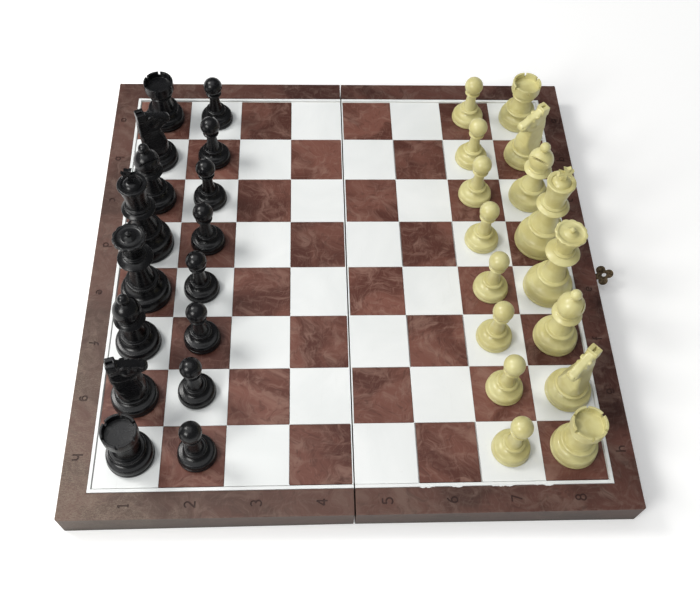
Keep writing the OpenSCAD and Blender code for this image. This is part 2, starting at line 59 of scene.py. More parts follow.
# Sizes that the model's boxes don't give, in metres
INLAY_FIT = 0.15 * MM
INLAY_CORNER = 0.4 * MM
INLAY_EDGE = 0.22 * MM
SEAM_LIP = 0.8 * MM
GROOVE_Z = 19.1 * MM
GROOVE_RISE = 0.28 * MM
FIGURE_DEPTH = 0.4 * MM
HINGE_Y = 104 * MM
LEAF_HOLE_X = 9 * MM
LEAF_HOLE_Y = 9 * MM

# Sizes in millimetres, of small parts that are drawn in millimetres
FIGURE_STROKE = 1.0
NAIL_R = 0.45
NAIL_HEAD_R = 0.95
NAIL_HEAD_T = 0.5
NAIL_DOME = 0.48
HASP_THICK = 0.9
DISH_DEPTH = 0.22
DISH_SLOPE = 0.25

# Edges of small metal pieces shorter than these stay as they are, in metres
SHORT_EDGE = 2.5 * MM
NO_EDGE = 10.0

# The hasp's rest angle in degrees, and its dishes: along from the pin, across, radius
HASP_TILT = 25
HASP_DISHES = ((7.5, -4.4, 1.9), (7.5, 4.4, 1.9), (13.2, 0, 1.45))

# Which side each half is on
SIDES = ((-1, "left"), (1, "right"))

# The camera: its place in squares from the middle of the field, its angles in degrees, its lens in mm
CAMERA_AT = (-0.679, -8.174, 12.495)
CAMERA_DOWN = 58.96
CAMERA_TURN = 5.47
CAMERA_ROLL = 4.27
CAMERA_LENS = 42.93

FILES = 8
SQUARE = 2 * (INLAY_HI.y + INLAY_FIT) / FILES
FIELD_Z = INLAY_HI.z


# ---------- node trees written as Python ----------


class Wire:
    """An output socket whose Python arithmetic adds Math nodes to its tree."""

    def __init__(self, tree, socket):
        self.tree = tree
        self.socket = socket

    def math(self, operation, *values):
        return self.tree.node("ShaderNodeMath", {"operation": operation}, dict(enumerate(values)))

    def __add__(self, other):
        return self.math("ADD", self, other)

    __radd__ = __add__

    def __sub__(self, other):
        return self.math("SUBTRACT", self, other)

    def __rsub__(self, other):
        return self.math("SUBTRACT", other, self)

    def __mul__(self, other):
        return self.math("MULTIPLY", self, other)

    __rmul__ = __mul__

    def __truediv__(self, other):
        return self.math("DIVIDE", self, other)

    def __rtruediv__(self, other):
        return self.math("DIVIDE", other, self)

    def __pow__(self, other):
        return self.math("POWER", self, other)

    def __mod__(self, other):
        return self.math("FLOORED_MODULO", self, other)

    def __abs__(self):
        return self.math("ABSOLUTE", self)

    def floor(self):
        return self.math("FLOOR", self)

    def cosine(self):
        return self.math("COSINE", self)

    def sine(self):
        return self.math("SINE", self)

    def least(self, other):
        return self.math("MINIMUM", self, other)

    def most(self, other):
        return self.math("MAXIMUM", self, other)


class Tree:
    """A node tree, and the one method that adds any node to it."""

    def __init__(self, node_tree):
        self.nodes = node_tree.nodes
        self.links = node_tree.links

    def node(self, kind, settings=None, values=None, out=0):
        made = self.nodes.new(kind)
        for name, setting in (settings or {}).items():
            if name == "stops":
                self.set_stops(made.color_ramp, setting)
            else:
                setattr(made, name, setting)
        for key, value in (values or {}).items():
            if isinstance(value, Wire):
                self.links.new(value.socket, made.inputs[key])
            else:
                made.inputs[key].default_value = value
        return Wire(self, made.outputs[out])

    @staticmethod
    def set_stops(ramp, stops):
        while len(ramp.elements) < len(stops):
            ramp.elements.new(0.5)
        for element, (place, colour) in zip(ramp.elements, stops):
            element.position = place
            element.color = (*colour, 1)

    def xyz(self, x, y, z):
        return self.node("ShaderNodeCombineXYZ", None, {0: x, 1: y, 2: z})

    def vector(self, operation, first, second):
        return self.node("ShaderNodeVectorMath", {"operation": operation}, {0: first, 1: second})

    def split(self, vector):
        first = self.node("ShaderNodeSeparateXYZ", None, {0: vector})
        outputs = first.socket.node.outputs
        return [Wire(self, outputs[i]) for i in range(3)]


class Finish(Tree):
    """A surface finish: one Principled shader fed by a procedural tree."""

    def __init__(self, name, **constants):
        self.material = bpy.data.materials.new(name)
        self.material.use_nodes = True
        super().__init__(self.material.node_tree)
        self.nodes.clear()
        self.shader = self.nodes.new("ShaderNodeBsdfPrincipled")
        output = self.nodes.new("ShaderNodeOutputMaterial")
        self.links.new(self.shader.outputs[0], output.inputs[0])
        for label, value in constants.items():
            self.shader.inputs[label.replace("_", " ")].default_value = value
        self.place = self.node("ShaderNodeTexCoord", out="Object")

    def noise(self, scale, detail=3.0, roughness=0.5, distortion=0.0, place=None):
        values = {
            "Vector": place or self.place,
            "Scale": scale,
            "Detail": detail,
            "Roughness": roughness,
            "Distortion": distortion,
        }
        return self.node("ShaderNodeTexNoise", None, values)

    def stretched(self, x, y, z, place=None):
        return self.vector("MULTIPLY", place or self.place, (x, y, z))

    def moved(self, place, offset):
        return self.vector("ADD", place, offset)

    def attribute(self, name):
        return self.node("ShaderNodeAttribute", {"attribute_name": name}, out="Fac")

    def spread(self, value, low, high, to_low=0.0, to_high=1.0):
        settings = {"clamp": True, "interpolation_type": "SMOOTHSTEP"}
        values = {0: value, 1: low, 2: high, 3: to_low, 4: to_high}
        return self.node("ShaderNodeMapRange", settings, values)

    def mix(self, share, first, second, blend="MIX"):
        colours = [(*c, 1) if isinstance(c, tuple) else c for c in (first, second)]
        values = {0: share, 6: colours[0], 7: colours[1]}
        return self.node("ShaderNodeMix", {"data_type": "RGBA", "blend_type": blend}, values, out=2)

    def bump(self, height, strength, distance):
        normal = self.node(
            "ShaderNodeBump", None, {"Strength": strength, "Distance": distance, "Height": height}
        )
        self.feed("Normal", normal)

    def feed(self, label, wire):
        self.links.new(wire.socket, self.shader.inputs[label])

    def box_edges(self, half, top, width):
        """1 along the outer edges of the board's block, fading over width."""
        x, y, z = self.split(self.place)
        gaps = [half - abs(x), half - abs(y), top - z]
        second = gaps[0].least(gaps[1]).most(gaps[0].most(gaps[1]).least(gaps[2]))
        return self.spread(second, width, 0.0)


# ---------- finishes ----------


def marbled_brown(name, dark, middle, pale, roughness):
    """Brown moulding: clouds and drawn-out swirls of a redder and a greyer brown."""
    f = Finish(name, IOR=1.48, Specular_IOR_Level=0.3)
    own = f.attribute("mottle")
    place = f.moved(f.place, f.xyz(own * 1.7, own * 0.9, own * 0.4))
    warp = f.noise(26, 3, place=place)
    swirled = f.moved(place, f.xyz(warp * 0.05, warp * -0.03, 0.0))
    clouds = f.noise(19, 3, 0.5, 0.6, swirled)
    swirls = f.noise(64, 7, 0.62, 1.2, swirled)
    brushed = f.noise(1, 4, 0.65, 0.3, f.stretched(1100, 130, 700, swirled))
    streaks = f.noise(1, 5, 0.6, 0.5, f.stretched(70, 420, 300, swirled))
    veins = f.noise(110, 6, 0.6, 2.2, swirled)
    grain = f.noise(1300, 3, 0.6, 0.0)
    colour = f.mix(f.spread(clouds, 0.4, 0.6), dark, middle)
    colour = f.mix(f.spread(swirls, 0.46, 0.7) * 0.7, colour, pale)
    colour = f.mix(f.spread(streaks, 0.52, 0.72) * 0.4, colour, pale)
    colour = f.mix(f.spread(brushed, 0.5, 0.72) * 0.4, colour, pale)
    colour = f.mix(f.spread(veins, 0.48, 0.32) * 0.4, colour, tuple(c * 0.6 for c in dark))
    tone = 0.8 + own * 0.4
    colour = f.mix(1.0, colour, f.xyz(tone, tone, tone), "MULTIPLY")
    f.feed("Roughness", roughness - 0.08 + swirls * 0.16 + grain * 0.06)
    return f, colour, swirls, grain


def frame_finish():
    dark, middle, pale = (0.056, 0.018, 0.013), (0.118, 0.045, 0.034), (0.2, 0.125, 0.1)
    f, colour, swirls, grain = marbled_brown("brown_marbled_frame", dark, middle, pale, 0.5)
    x, y, z = f.split(f.place)
    # Paler and greyer towards the left front corner, and brushed at the corner itself
    towards = f.spread(x * -0.8 + y * -0.6 + f.noise(30, 4, 0.6) * 0.12, -0.02, 0.26)
    corner = f.spread(x * -1.0 + y * -0.5 + f.noise(42, 5, 0.55, 1.5) * 0.2, 0.26, 0.36)
    slanted = f.moved(f.place, f.xyz(y * 0.5, 0.0, 0.0))
    brushed = f.noise(1, 5, 0.7, 1.2, f.stretched(700, 2400, 1500, slanted))
    colour = f.mix(towards * 0.3, colour, (0.15, 0.108, 0.086))
    patch = corner * (0.1 + f.spread(brushed, 0.42, 0.66) * 0.6)
    colour = f.mix(patch, colour, (0.27, 0.22, 0.165))
    edges = f.box_edges(HALF, TOP, 1.1 * MM) * f.spread(f.noise(260, 4, 0.7), 0.4, 0.62)
    colour = f.mix(edges * 0.3, colour, (0.2, 0.14, 0.115))
    # Painted shade: the sides darkened from just below the top edge, plus a painted contact shadow
    # that darkens them further towards the floor
    sides = f.spread(z, TOP - 0.2 * MM, TOP - 1.0 * MM) * 0.55 + f.spread(z, 9 * MM, 0.0) * 0.35
    colour = f.mix(sides, colour, (0.034, 0.025, 0.018))
    colour = f.mix(f.attribute("sunk") * 0.75, colour, (0.024, 0.009, 0.007))
    f.feed("Base Color", colour)
    f.bump(grain * 0.5 + swirls, 0.22, 0.1 * MM)
    return f.material


def square_finish():
    dark, middle, pale = (0.08, 0.026, 0.018), (0.158, 0.062, 0.045), (0.245, 0.137, 0.106)
    f, colour, swirls, grain = marbled_brown("brown_marbled_squares", dark, middle, pale, 0.42)
    f.feed("Base Color", colour)
    f.bump(grain * 0.6 + swirls * 0.8, 0.2, 0.1 * MM)
    return f.material


def white_finish():
    f = Finish("white_moulding", IOR=1.49)
    clouds = f.noise(14, 4, 0.55, 0.8)
    scuffs = f.noise(1, 4, 0.55, 1.2, f.stretched(420, 38, 60))
    specks = f.noise(700, 2, 0.5)
    colour = f.mix(f.spread(clouds, 0.3, 0.7), (0.755, 0.775, 0.77), (0.83, 0.845, 0.84))
    colour = f.mix(f.spread(scuffs, 0.62, 0.8) * 0.16, colour, (0.6, 0.6, 0.57))
    colour = f.mix(f.spread(specks, 0.7, 0.78) * 0.18, colour, (0.55, 0.54, 0.5))
    z = f.split(f.place)[2]
    # Painted shade: the floor of the groove round the field darkened to a beige grey
    painted_groove_shade = f.spread(z, FIELD_Z - 0.05 * MM, FIELD_Z - 0.2 * MM)
    colour = f.mix(painted_groove_shade * 0.35, colour, (0.55, 0.52, 0.45))
    f.feed("Base Color", colour)
    f.feed("Roughness", 0.34 + clouds * 0.08 + f.spread(scuffs, 0.5, 0.8) * 0.18)
    f.bump(specks * 0.3 + clouds, 0.12, 0.08 * MM)
    return f.material


def man_finish(name, shade, base, tint, roughness, coat, gloss):
    """Moulded plastic of a chessman, faintly uneven in colour and gloss, with handling marks."""
    f = Finish(name, IOR=1.5, Specular_IOR_Level=gloss)
    clouds = f.noise(75, 3, 0.5, 0.5)
    marks = f.noise(1, 4, 0.6, 0.8, f.stretched(260, 260, 1500))
    pores = f.noise(1500, 2, 0.5)
    colour = f.mix(f.spread(clouds, 0.34, 0.66), shade, base)
    colour = f.mix(f.spread(marks, 0.56, 0.76) * 0.35, colour, tint)
    tone = 0.94 + f.attribute("mottle") * 0.1
    colour = f.mix(1.0, colour, f.xyz(tone * 0.99, tone, tone * 0.97), "MULTIPLY")
    f.feed("Base Color", colour)
    f.feed("Roughness", roughness + clouds * 0.08 + f.spread(marks, 0.5, 0.8) * 0.12)
    f.feed("Coat Weight", coat + clouds * 0.04)
    f.bump(pores * 0.3 + clouds * 0.5, 0.06, 0.05 * MM)
    return f.material


def metal_finish(name, deep, worn, dirt, roughness):
    """Plated or lacquered metal: tarnish in patches, worn bright on the high spots."""
    f = Finish(name, Metallic=1.0)
    patches = f.noise(420, 5, 0.65, 0.6)
    rubbed = f.noise(900, 4, 0.6, 1.0)
    brushed = f.noise(1, 3, 0.6, 0.0, f.stretched(900, 7000, 900))
    colour = f.mix(f.spread(patches, 0.36, 0.66), deep, worn)
    colour = f.mix(f.spread(rubbed, 0.6, 0.34) * 0.6, colour, dirt)
    colour = f.mix(f.attribute("sunk") * 0.5, colour, dirt)
    f.feed("Base Color", colour)
    f.feed("Roughness", roughness + patches * 0.22 + brushed * 0.08)
    f.feed("Metallic", 0.95 - f.spread(rubbed, 0.6, 0.34) * 0.35)
    f.bump(patches * 0.5 + rubbed * 0.4 + brushed * 0.2, 0.35, 0.05 * MM)
    return f.material


def floor_finish():
    f = Finish("pale_floor")
    tone = f.noise(3, 2, 0.5)
    colour = f.mix(f.spread(tone, 0.2, 0.8), (0.89, 0.89, 0.885), (0.91, 0.91, 0.905))
    f.feed("Base Color", colour)
    f.feed("Roughness", 0.85 + tone * 0.1)
    x, y, _ = f.split(f.place)
    glow = f.spread((x * x + y * y) ** 0.5, 0.2, 1.4, 0.24, 1.0)
    f.feed("Emission Color", f.xyz(glow, glow, glow))
    f.shader.inputs["Emission Strength"].default_value = 1.0
    return f.material


FINISHES = {
    "brown_plastic": frame_finish(),
    "brown_squares": square_finish(),
    "white_plastic": white_finish(),
    "black_plastic": man_finish(
        "black_moulding",
        (0.004, 0.004, 0.005),
        (0.006, 0.006, 0.007),
        (0.012, 0.012, 0.014),
        roughness=0.22,
        coat=0.0,
        gloss=0.3,
    ),
    "cream_plastic": man_finish(
        "cream_moulding",
        (0.55, 0.49, 0.215),
        (0.64, 0.59, 0.295),
        (0.68, 0.645, 0.39),
        roughness=0.28,
        coat=0.06,
        gloss=0.5,
    ),
    "hinge_brass": metal_finish(
        "hinge_brass_plate",
        (0.46, 0.31, 0.12),
        (0.7, 0.51, 0.24),
        (0.17, 0.11, 0.05),
        roughness=0.28,
    ),
    "hinge_steel": metal_finish(
        "hinge_steel_wire",
        (0.4, 0.39, 0.37),
        (0.6, 0.59, 0.57),
        (0.2, 0.18, 0.16),
        roughness=0.26,
    ),
    "antique_brass": metal_finish(
        "latch_antique_brass",
        (0.075, 0.05, 0.026),
        (0.24, 0.175, 0.105),
        (0.022, 0.014, 0.008),
        roughness=0.34,
    ),
}


# ---------- making pieces ----------


def add_piece(name, mesh, body, slot_name, nodes):
    """Puts a finished mesh in the scene, riding on a body and standing for CAD nodes."""
    piece = bpy.data.objects.new(name, mesh)
    bpy.context.scene.collection.objects.link(piece)
    if not any(mesh.materials):
        mesh.materials.clear()
        mesh.materials.append(FINISHES[slot_name])
        mesh.polygons.foreach_set("material_index", np.zeros(len(mesh.polygons), np.int32))
    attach(piece, body)
    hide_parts(*nodes)


def mesh_from(points, faces):
    mesh = bpy.data.meshes.new("shape")
    mesh.from_pydata([tuple(p) for p in points], [], faces)
    mesh.validate()
    return mesh


def mesh_of(shape, name):
    """The mesh of a bmesh, which is freed."""
    mesh = bpy.data.meshes.new(name)
    shape.to_mesh(mesh)
    shape.free()
    return mesh


def carried(mesh):
    """An object in the scene that holds a mesh for a moment."""
    carrier = bpy.data.objects.new("carrier", mesh)
    bpy.context.scene.collection.objects.link(carrier)
    return carrier


def evaluated(carrier):
    """The plain mesh that the carrier's modifier gives. The carrier and its modifier go."""
    depsgraph = bpy.context.evaluated_depsgraph_get()
    made = bpy.data.meshes.new_from_object(carrier.evaluated_get(depsgraph), depsgraph=depsgraph)
    bpy.data.objects.remove(carrier)
    return made


def with_modifier(mesh, kind, **settings):
    """Runs a modifier over a mesh and returns the plain result."""
    carrier = carried(mesh)
    modifier = carrier.modifiers.new(kind, kind)
    for label, value in settings.items():
        setattr(modifier, label, value)
    return evaluated(carrier)


def smooth(mesh, sharp_above=35):
    """Smooth shading with sharp creases, and flat faces that stay flat beside rounded edges."""
    mesh.shade_smooth()
    mesh.set_sharp_from_angle(angle=math.radians(sharp_above))
    return with_modifier(mesh, "WEIGHTED_NORMAL", keep_sharp=True, weight=60)


def combined(mesh, tools, operation):
    """The mesh with other closed meshes added to it or cut from it."""
    for tool in tools:
        holder = carried(tool)
        mesh = with_modifier(
            mesh, "BOOLEAN", operation=operation, object=holder, solver="MANIFOLD"
        )
        bpy.data.objects.remove(holder)
    return mesh


def joined(*meshes):
    """Several meshes in one, each still its own shell."""
    shape = bmesh.new()
    for mesh in meshes:
        shape.from_mesh(mesh)
    return mesh_of(shape, "joined")


def moved(mesh, place, turn=0.0):
    """A copy of the mesh, turned about Z and moved to its place."""
    copy = mesh.copy()
    copy.transform(Matrix.Translation(place) @ Matrix.Rotation(turn, 4, "Z"))
    return copy


def block(low, high):
    """A closed box between two corners, to cut with or to build on."""
    (x0, y0, z0), (x1, y1, z1) = low, high
    points = [(x, y, z) for z in (z0, z1) for x, y in ((x0, y0), (x1, y0), (x1, y1), (x0, y1))]
    faces = [(3, 2, 1, 0), (4, 5, 6, 7)]
    faces += [(i, (i + 1) % 4, (i + 1) % 4 + 4, i + 4) for i in range(4)]
    return mesh_from(points, faces)


def plate(outline, low, high, edge=0.0):
    """An outline in XY made solid from low to high, with its top and bottom edges eased."""
    shape = bmesh.new()
    corners = [shape.verts.new((x, y, low)) for x, y in outline]
    foot = shape.faces.new(corners)
    raised = bmesh.ops.extrude_face_region(shape, geom=[foot])
    upper = [v for v in raised["geom"] if isinstance(v, bmesh.types.BMVert)]
    bmesh.ops.translate(shape, verts=upper, vec=(0, 0, high - low))
    bmesh.ops.recalc_face_normals(shape, faces=shape.faces)
    if edge:
        flat = [e for e in shape.edges if abs(e.verts[0].co.z - e.verts[1].co.z) < 1e-7]
        bmesh.ops.bevel(shape, geom=flat, offset=edge, segments=2, affect="EDGES", profile=0.5)
    return mesh_of(shape, "plate")


def softened_copy(node, width, shortest):
    """A cleaned copy of a CAD node with its longer sharp edges rounded."""
    shape = bmesh.new()
    shape.from_mesh(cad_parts[node].data)
    bmesh.ops.remove_doubles(shape, verts=shape.verts, dist=1e-6)
    paired = [e for e in shape.edges if len(e.link_faces) == 2 and e.calc_length() > shortest]
    sharp = [e for e in paired if e.calc_face_angle() > math.radians(30)]
    rounding = {"segments": 3, "affect": "EDGES", "profile": 0.5, "clamp_overlap": False}
    bmesh.ops.bevel(shape, geom=sharp, offset=width, **rounding)
    return mesh_of(shape, node + "_softened")


# ---------- Geometry Nodes ----------


class Grower(Tree):
    """A Geometry Nodes tree with named inputs, run once to give a plain mesh."""

    def __init__(self, name, inputs):
        self.group = bpy.data.node_groups.new(name, "GeometryNodeTree")
        super().__init__(self.group)
        face = self.group.interface
        for label, kind in inputs:
            face.new_socket(name=label, in_out="INPUT", socket_type="NodeSocket" + kind)
        face.new_socket(name="Geometry", in_out="OUTPUT", socket_type="NodeSocketGeometry")
        self.given = self.nodes.new("NodeGroupInput")

    def __getitem__(self, label):
        return Wire(self, self.given.outputs[label])

    def end(self, geometry):
        output = self.nodes.new("NodeGroupOutput")
        real = self.node("GeometryNodeRealizeInstances", None, {0: geometry})
        values = {0: real, "Material": self["Material"]}
        painted = self.node("GeometryNodeSetMaterial", None, values)
        self.links.new(painted.socket, output.inputs[0])

    def grow(self, **values):
        carrier = carried(bpy.data.meshes.new("carrier"))
        modifier = carrier.modifiers.new("grow", "NODES")
        modifier.node_group = self.group
        for item in self.group.interface.items_tree:
            if item.in_out == "INPUT":
                modifier[item.identifier] = values[item.name.replace(" ", "_")]
        return evaluated(carrier)


def turning_tree():
    """Turns an outline about Z. Scallops can be let into the outline above a height."""
    t = Grower(
        "turned_man",
        [
            ("Outline", "Object"),
            ("Points", "Int"),
            ("Steps", "Int"),
            ("Scallops", "Int"),
            ("Depth", "Float"),
            ("From", "Float"),
            ("Full", "Float"),
            ("Inner", "Float"),
            ("Material", "Material"),
        ],
    )
    outline = t.node("GeometryNodeObjectInfo", None, {"Object": t["Outline"]}, out="Geometry")
    counts = {"Vertices X": t["Steps"] + 1, "Vertices Y": t["Points"]}
    grid = t.node("GeometryNodeMeshGrid", None, counts)
    index = t.node("GeometryNodeInputIndex")
    place = t.node("GeometryNodeInputPosition")
    sampled = t.node(
        "GeometryNodeSampleIndex",
        {"data_type": "FLOAT_VECTOR"},
        {"Geometry": outline, "Value": place, "Index": index % t["Points"]},
    )
    radius, _, height = t.split(sampled)
    angle = (index / t["Points"]).floor() * (2 * math.pi) / t["Steps"]
    risen = ((height - t["From"]) / (t["Full"] - t["From"])).most(0.0).least(1.0)
    wave = abs((angle * t["Scallops"] / 2).cosine())
    outer = ((radius / t["Inner"] - 1) * 5).most(0.0).least(1.0)
    cut = t["Depth"] * risen * wave**4 * outer
    reach = radius - cut.least(radius)
    around = t.xyz(reach * angle.cosine(), reach * angle.sine(), height)
    shell = t.node("GeometryNodeSetPosition", None, {"Geometry": grid, "Position": around})
    t.end(t.node("GeometryNodeMergeByDistance", None, {"Geometry": shell, "Distance": 1e-6}))
    return t


def squares_tree():
    """The brown squares of one half: eased plates, each with its own mottle."""
    t = Grower(
        "brown_squares_of_one_half",
        [
            ("Files", "Int"),
            ("Rows", "Int"),
            ("Parity", "Int"),
            ("Square", "Float"),
            ("Plate", "Float"),
            ("Corner", "Float"),
            ("Thickness", "Float"),
            ("Edge", "Float"),
            ("First X", "Float"),
            ("Bottom", "Float"),
            ("Seam file", "Int"),
            ("Seam cut", "Float"),
            ("Seam side", "Float"),
            ("Seed", "Int"),
            ("Material", "Material"),
        ],
    )
    index = t.node("GeometryNodeInputIndex")
    file, row = (index / t["Rows"]).floor(), index % t["Rows"]
    at_seam = file.math("COMPARE", file, t["Seam file"], 0.1)
    place = t.xyz(
        (file + 0.5) * t["Square"] + t["First X"] + at_seam * t["Seam side"] * t["Seam cut"] / 2,
        (row + 0.5 - t["Rows"] / 2) * t["Square"],
        t["Bottom"],
    )
    count = t["Files"] * t["Rows"]
    points = t.node("GeometryNodePoints", None, {"Count": count, "Position": place})
    white = (file + row + t["Parity"]) % 2.0
    dropped = {0: points, "Selection": 1 - white}
    kept = t.node("GeometryNodeDeleteGeometry", {"domain": "POINT"}, dropped)
    size = {0: t["Plate"], 1: t["Plate"]}
    rectangle = t.node("GeometryNodeCurvePrimitiveQuadrilateral", None, size)
    eased = t.node(
        "GeometryNodeFilletCurve",
        {"mode": "POLY"},
        {"Curve": rectangle, "Radius": t["Corner"], "Count": 3},
    )
    foot = t.node("GeometryNodeFillCurve", {"mode": "NGONS"}, {"Curve": eased})
    sides = t.node(
        "GeometryNodeExtrudeMesh",
        None,
        {"Mesh": foot, "Offset Scale": t["Thickness"] - t["Edge"], "Individual": False},
    )
    first_top = Wire(t, sides.socket.node.outputs["Top"])
    rim = t.node(
        "GeometryNodeExtrudeMesh",
        None,
        {"Mesh": sides, "Selection": first_top, "Offset Scale": t["Edge"], "Individual": False},
    )
    top = Wire(t, rim.socket.node.outputs["Top"])
    drawn_in = t.node(
        "GeometryNodeScaleElements",
        None,
        {"Geometry": rim, "Selection": top, "Scale": 1 - t["Edge"] * 2 / t["Plate"]},
    )
    underside = t.node("GeometryNodeFlipFaces", None, {"Mesh": foot})
    both = t.node("GeometryNodeJoinGeometry", None, {0: underside})
    t.links.new(drawn_in.socket, both.socket.node.inputs[0])
    closed = t.node("GeometryNodeMergeByDistance", None, {"Geometry": both, "Distance": 1e-6})
    seam_scale = 1 - at_seam * t["Seam cut"] / t["Plate"]
    placed = t.node(
        "GeometryNodeInstanceOnPoints",
        None,
        {"Points": kept, "Instance": closed, "Scale": t.xyz(seam_scale, 1.0, 1.0)},
    )
    shade = t.node("FunctionNodeRandomValue", {"data_type": "FLOAT"}, {"Seed": t["Seed"]}, out=1)
    toned = t.node(
        "GeometryNodeStoreNamedAttribute",
        {"data_type": "FLOAT", "domain": "INSTANCE"},
        {"Geometry": placed, "Name": "mottle", "Value": shade},
    )
    t.end(toned)
    return t


def fixings_tree():
    """Screws or nails in pairs along Y: a pair spread by Spacing, the pairs by Pair distance."""
    t = Grower(
        "fixings_in_pairs",
        [
            ("Fixing", "Object"),
            ("Count", "Int"),
            ("Pair distance", "Float"),
            ("Spacing", "Float"),
            ("Centre", "Vector"),
            ("Tilt", "Float"),
            ("Seed", "Int"),
            ("Material", "Material"),
        ],
    )
    index = t.node("GeometryNodeInputIndex")
    pair = (index / 2).floor() * 2 - 1
    within = index % 2.0 * 2 - 1
    along = pair * t["Pair distance"] / 2 + within * t["Spacing"] / 2
    place = t.vector("ADD", t["Centre"], t.xyz(0.0, along, 0.0))
    points = t.node("GeometryNodePoints", None, {"Count": t["Count"], "Position": place})
    fixing = t.node("GeometryNodeObjectInfo", None, {"Object": t["Fixing"]}, out="Geometry")
    spread = {3: math.tau, "Seed": t["Seed"]}
    turn = t.node("FunctionNodeRandomValue", {"data_type": "FLOAT"}, spread, out=1)
    placed = t.node(
        "GeometryNodeInstanceOnPoints",
        None,
        {"Points": points, "Instance": fixing, "Rotation": t.xyz(0.0, t["Tilt"], 0.0)},
    )
    driven = t.node(
        "GeometryNodeRotateInstances",
        None,
        {"Instances": placed, "Rotation": t.xyz(0.0, 0.0, turn), "Local Space": True},
    )
    t.end(driven)
    return t


TURNING = turning_tree()
SQUARES = squares_tree()
FIXINGS = fixings_tree()


# ---------- the chessmen ----------


def arc(cx, cz, rx, rz, start, stop, steps):
    angles = [math.radians(start + (stop - start) * i / steps) for i in range(steps + 1)]
    return [(cx + rx * math.cos(a), cz + rz * math.sin(a)) for a in angles]


def sweep(p, u, v, q, steps):
    """A curve from p to q that leaves along u and arrives along v."""
    points = []
    for i in range(steps + 1):
        t, s = i / steps, 1 - i / steps
        pull = (s**3 + 3 * s * s * t, 3 * s * s * t, 3 * s * t * t, 3 * s * t * t + t**3)
        points.append(
            tuple(pull[0] * p[k] + pull[1] * u[k] - pull[2] * v[k] + pull[3] * q[k] for k in (0, 1))
        )
    return points


def eased(points, radius=0.3, steps=3, least_turn=22):
    """The outline with every corner sharper than least_turn degrees rounded off."""
    out = [points[0]]
    for a, b, c in zip(points, points[1:], points[2:]):
        before, after = Vector(a) - Vector(b), Vector(c) - Vector(b)
        if before.length < 1e-6 or after.length < 1e-6:
            continue
        if math.degrees((-before).angle(after)) < least_turn:
            out.append(b)
            continue
        reach = min(radius, before.length * 0.45, after.length * 0.45)
        p, q = Vector(b) + before.normalized() * reach, Vector(b) + after.normalized() * reach
        for i in range(steps + 1):
            t = i / steps
            out.append(tuple((1 - t) ** 2 * p + 2 * t * (1 - t) * Vector(b) + t * t * q))
    out.append(points[-1])
    return out


# Details that every turned foot shares, in millimetres
FOOT_EDGE = 0.7
PLINTH = 2.4
GROOVE = 0.6
RING = 1.8
COVE = 0.9
HOLLOW = 0.8
BEAD = 1.15
HOLLOW_WALL = 2.2


def foot(base_r, shoulder_z, ring_r, ring_z):
    """Half outline of a turned foot: hollowed under, then plinth, groove, shoulder, cove, ring."""
    groove_z = PLINTH + GROOVE
    top_r = base_r - (base_r - ring_r) * 0.42
    points = [(0, HOLLOW), (base_r - HOLLOW_WALL - HOLLOW, HOLLOW), (base_r - HOLLOW_WALL, 0)]
    points += [(base_r - FOOT_EDGE, 0), (base_r, FOOT_EDGE), (base_r, PLINTH)]
    points += [(base_r - GROOVE, PLINTH + GROOVE / 2), (base_r - GROOVE, groove_z)]
    points += arc(top_r, groove_z, base_r - 0.2 - top_r, shoulder_z - groove_z, 0, 80, 10)
    points += sweep(
        (top_r - 0.6, shoulder_z + 0.1), (-2.6, 0.1),
        (0.3, 1.2), (ring_r - BEAD - COVE, ring_z - BEAD * 0.9), 9,
    )
    return points + arc(ring_r - BEAD, ring_z + RING / 2 - BEAD, BEAD, BEAD, -115, 90, 10)


def collar(r, z, t, neck_r, neck_z):
    """Half outline of a collar: a lipped disc that slopes up to a neck."""
    slope = [(neck_r + (r - neck_r) * 0.35, neck_z - 0.5), (neck_r, neck_z)]
    return arc(r - t / 2, z, t / 2, t / 2, -100, 70, 7) + slope


def turned(points, steps=96, scallops=0, depth=0.0, rise=(0.0, 1.0), inner=1.0):
    """A closed body turned from a half outline in millimetres."""
    outline = [(r * MM, z * MM) for r, z in eased(points)]
    holder = carried(mesh_from([(r, 0, z) for r, z in outline], []))
    mesh = TURNING.grow(
        Outline=holder,
        Points=len(outline),
        Steps=steps,
        Scallops=scallops,
        Depth=depth * MM,
        From=rise[0] * MM,
        Full=rise[1] * MM,
        Inner=inner * MM,
        Material=None,
    )
    bpy.data.objects.remove(holder)
    mesh.materials.clear()
    return mesh


def pawn(h, base_r):
    ball_r, stem_r = 6.6, 3.4
    ball_z = h - ball_r
    points = foot(base_r, 6.6, base_r * 0.6, 11.6)
    points += sweep((5, 12.4), (-1, 3), (0, 5), (stem_r, ball_z - ball_r - 1.6), 9)
    points += collar(base_r * 0.47, ball_z - ball_r + 0.1, 1.3, stem_r + 0.2, ball_z - ball_r + 1.5)
    return turned(points + arc(0, ball_z, ball_r, ball_r, -60, 90, 24), steps=80)


def rook(h, base_r):
    r, hollow, slot_w, slot_d, slots = 10.4, 4.4, 1.5, 3, 6
    bore_r = r - 1.5
    points = foot(base_r, 7.4, base_r * 0.77, 13.2)
    points += sweep((8.4, 14.1), (-1, 3), (0, 4), (6.8, h - 14), 9)
    points += collar(8.2, h - 12.6, 1.4, 7.2, h - 11.2)
    points += sweep((7.4, h - 11), (0.4, 1.6), (0.6, 1.8), (r - 0.2, h - 7.4), 8)
    points += [(r, h - 6.6), (r, h), (bore_r, h), (bore_r - 0.2, h - hollow), (0, h - hollow - 0.3)]
    body = turned(points)
    cutters = []
    for i in range(slots // 2):
        bar = block((-r - 1, -slot_w / 2, h - slot_d), (r + 1, slot_w / 2, h + 1))
        angle = math.radians(30 + i * 360 / slots)
        bar.transform(Matrix.Rotation(angle, 4, "Z") @ Matrix.Scale(MM, 4))
        cutters.append(bar)
    return combined(body, cutters, "DIFFERENCE")


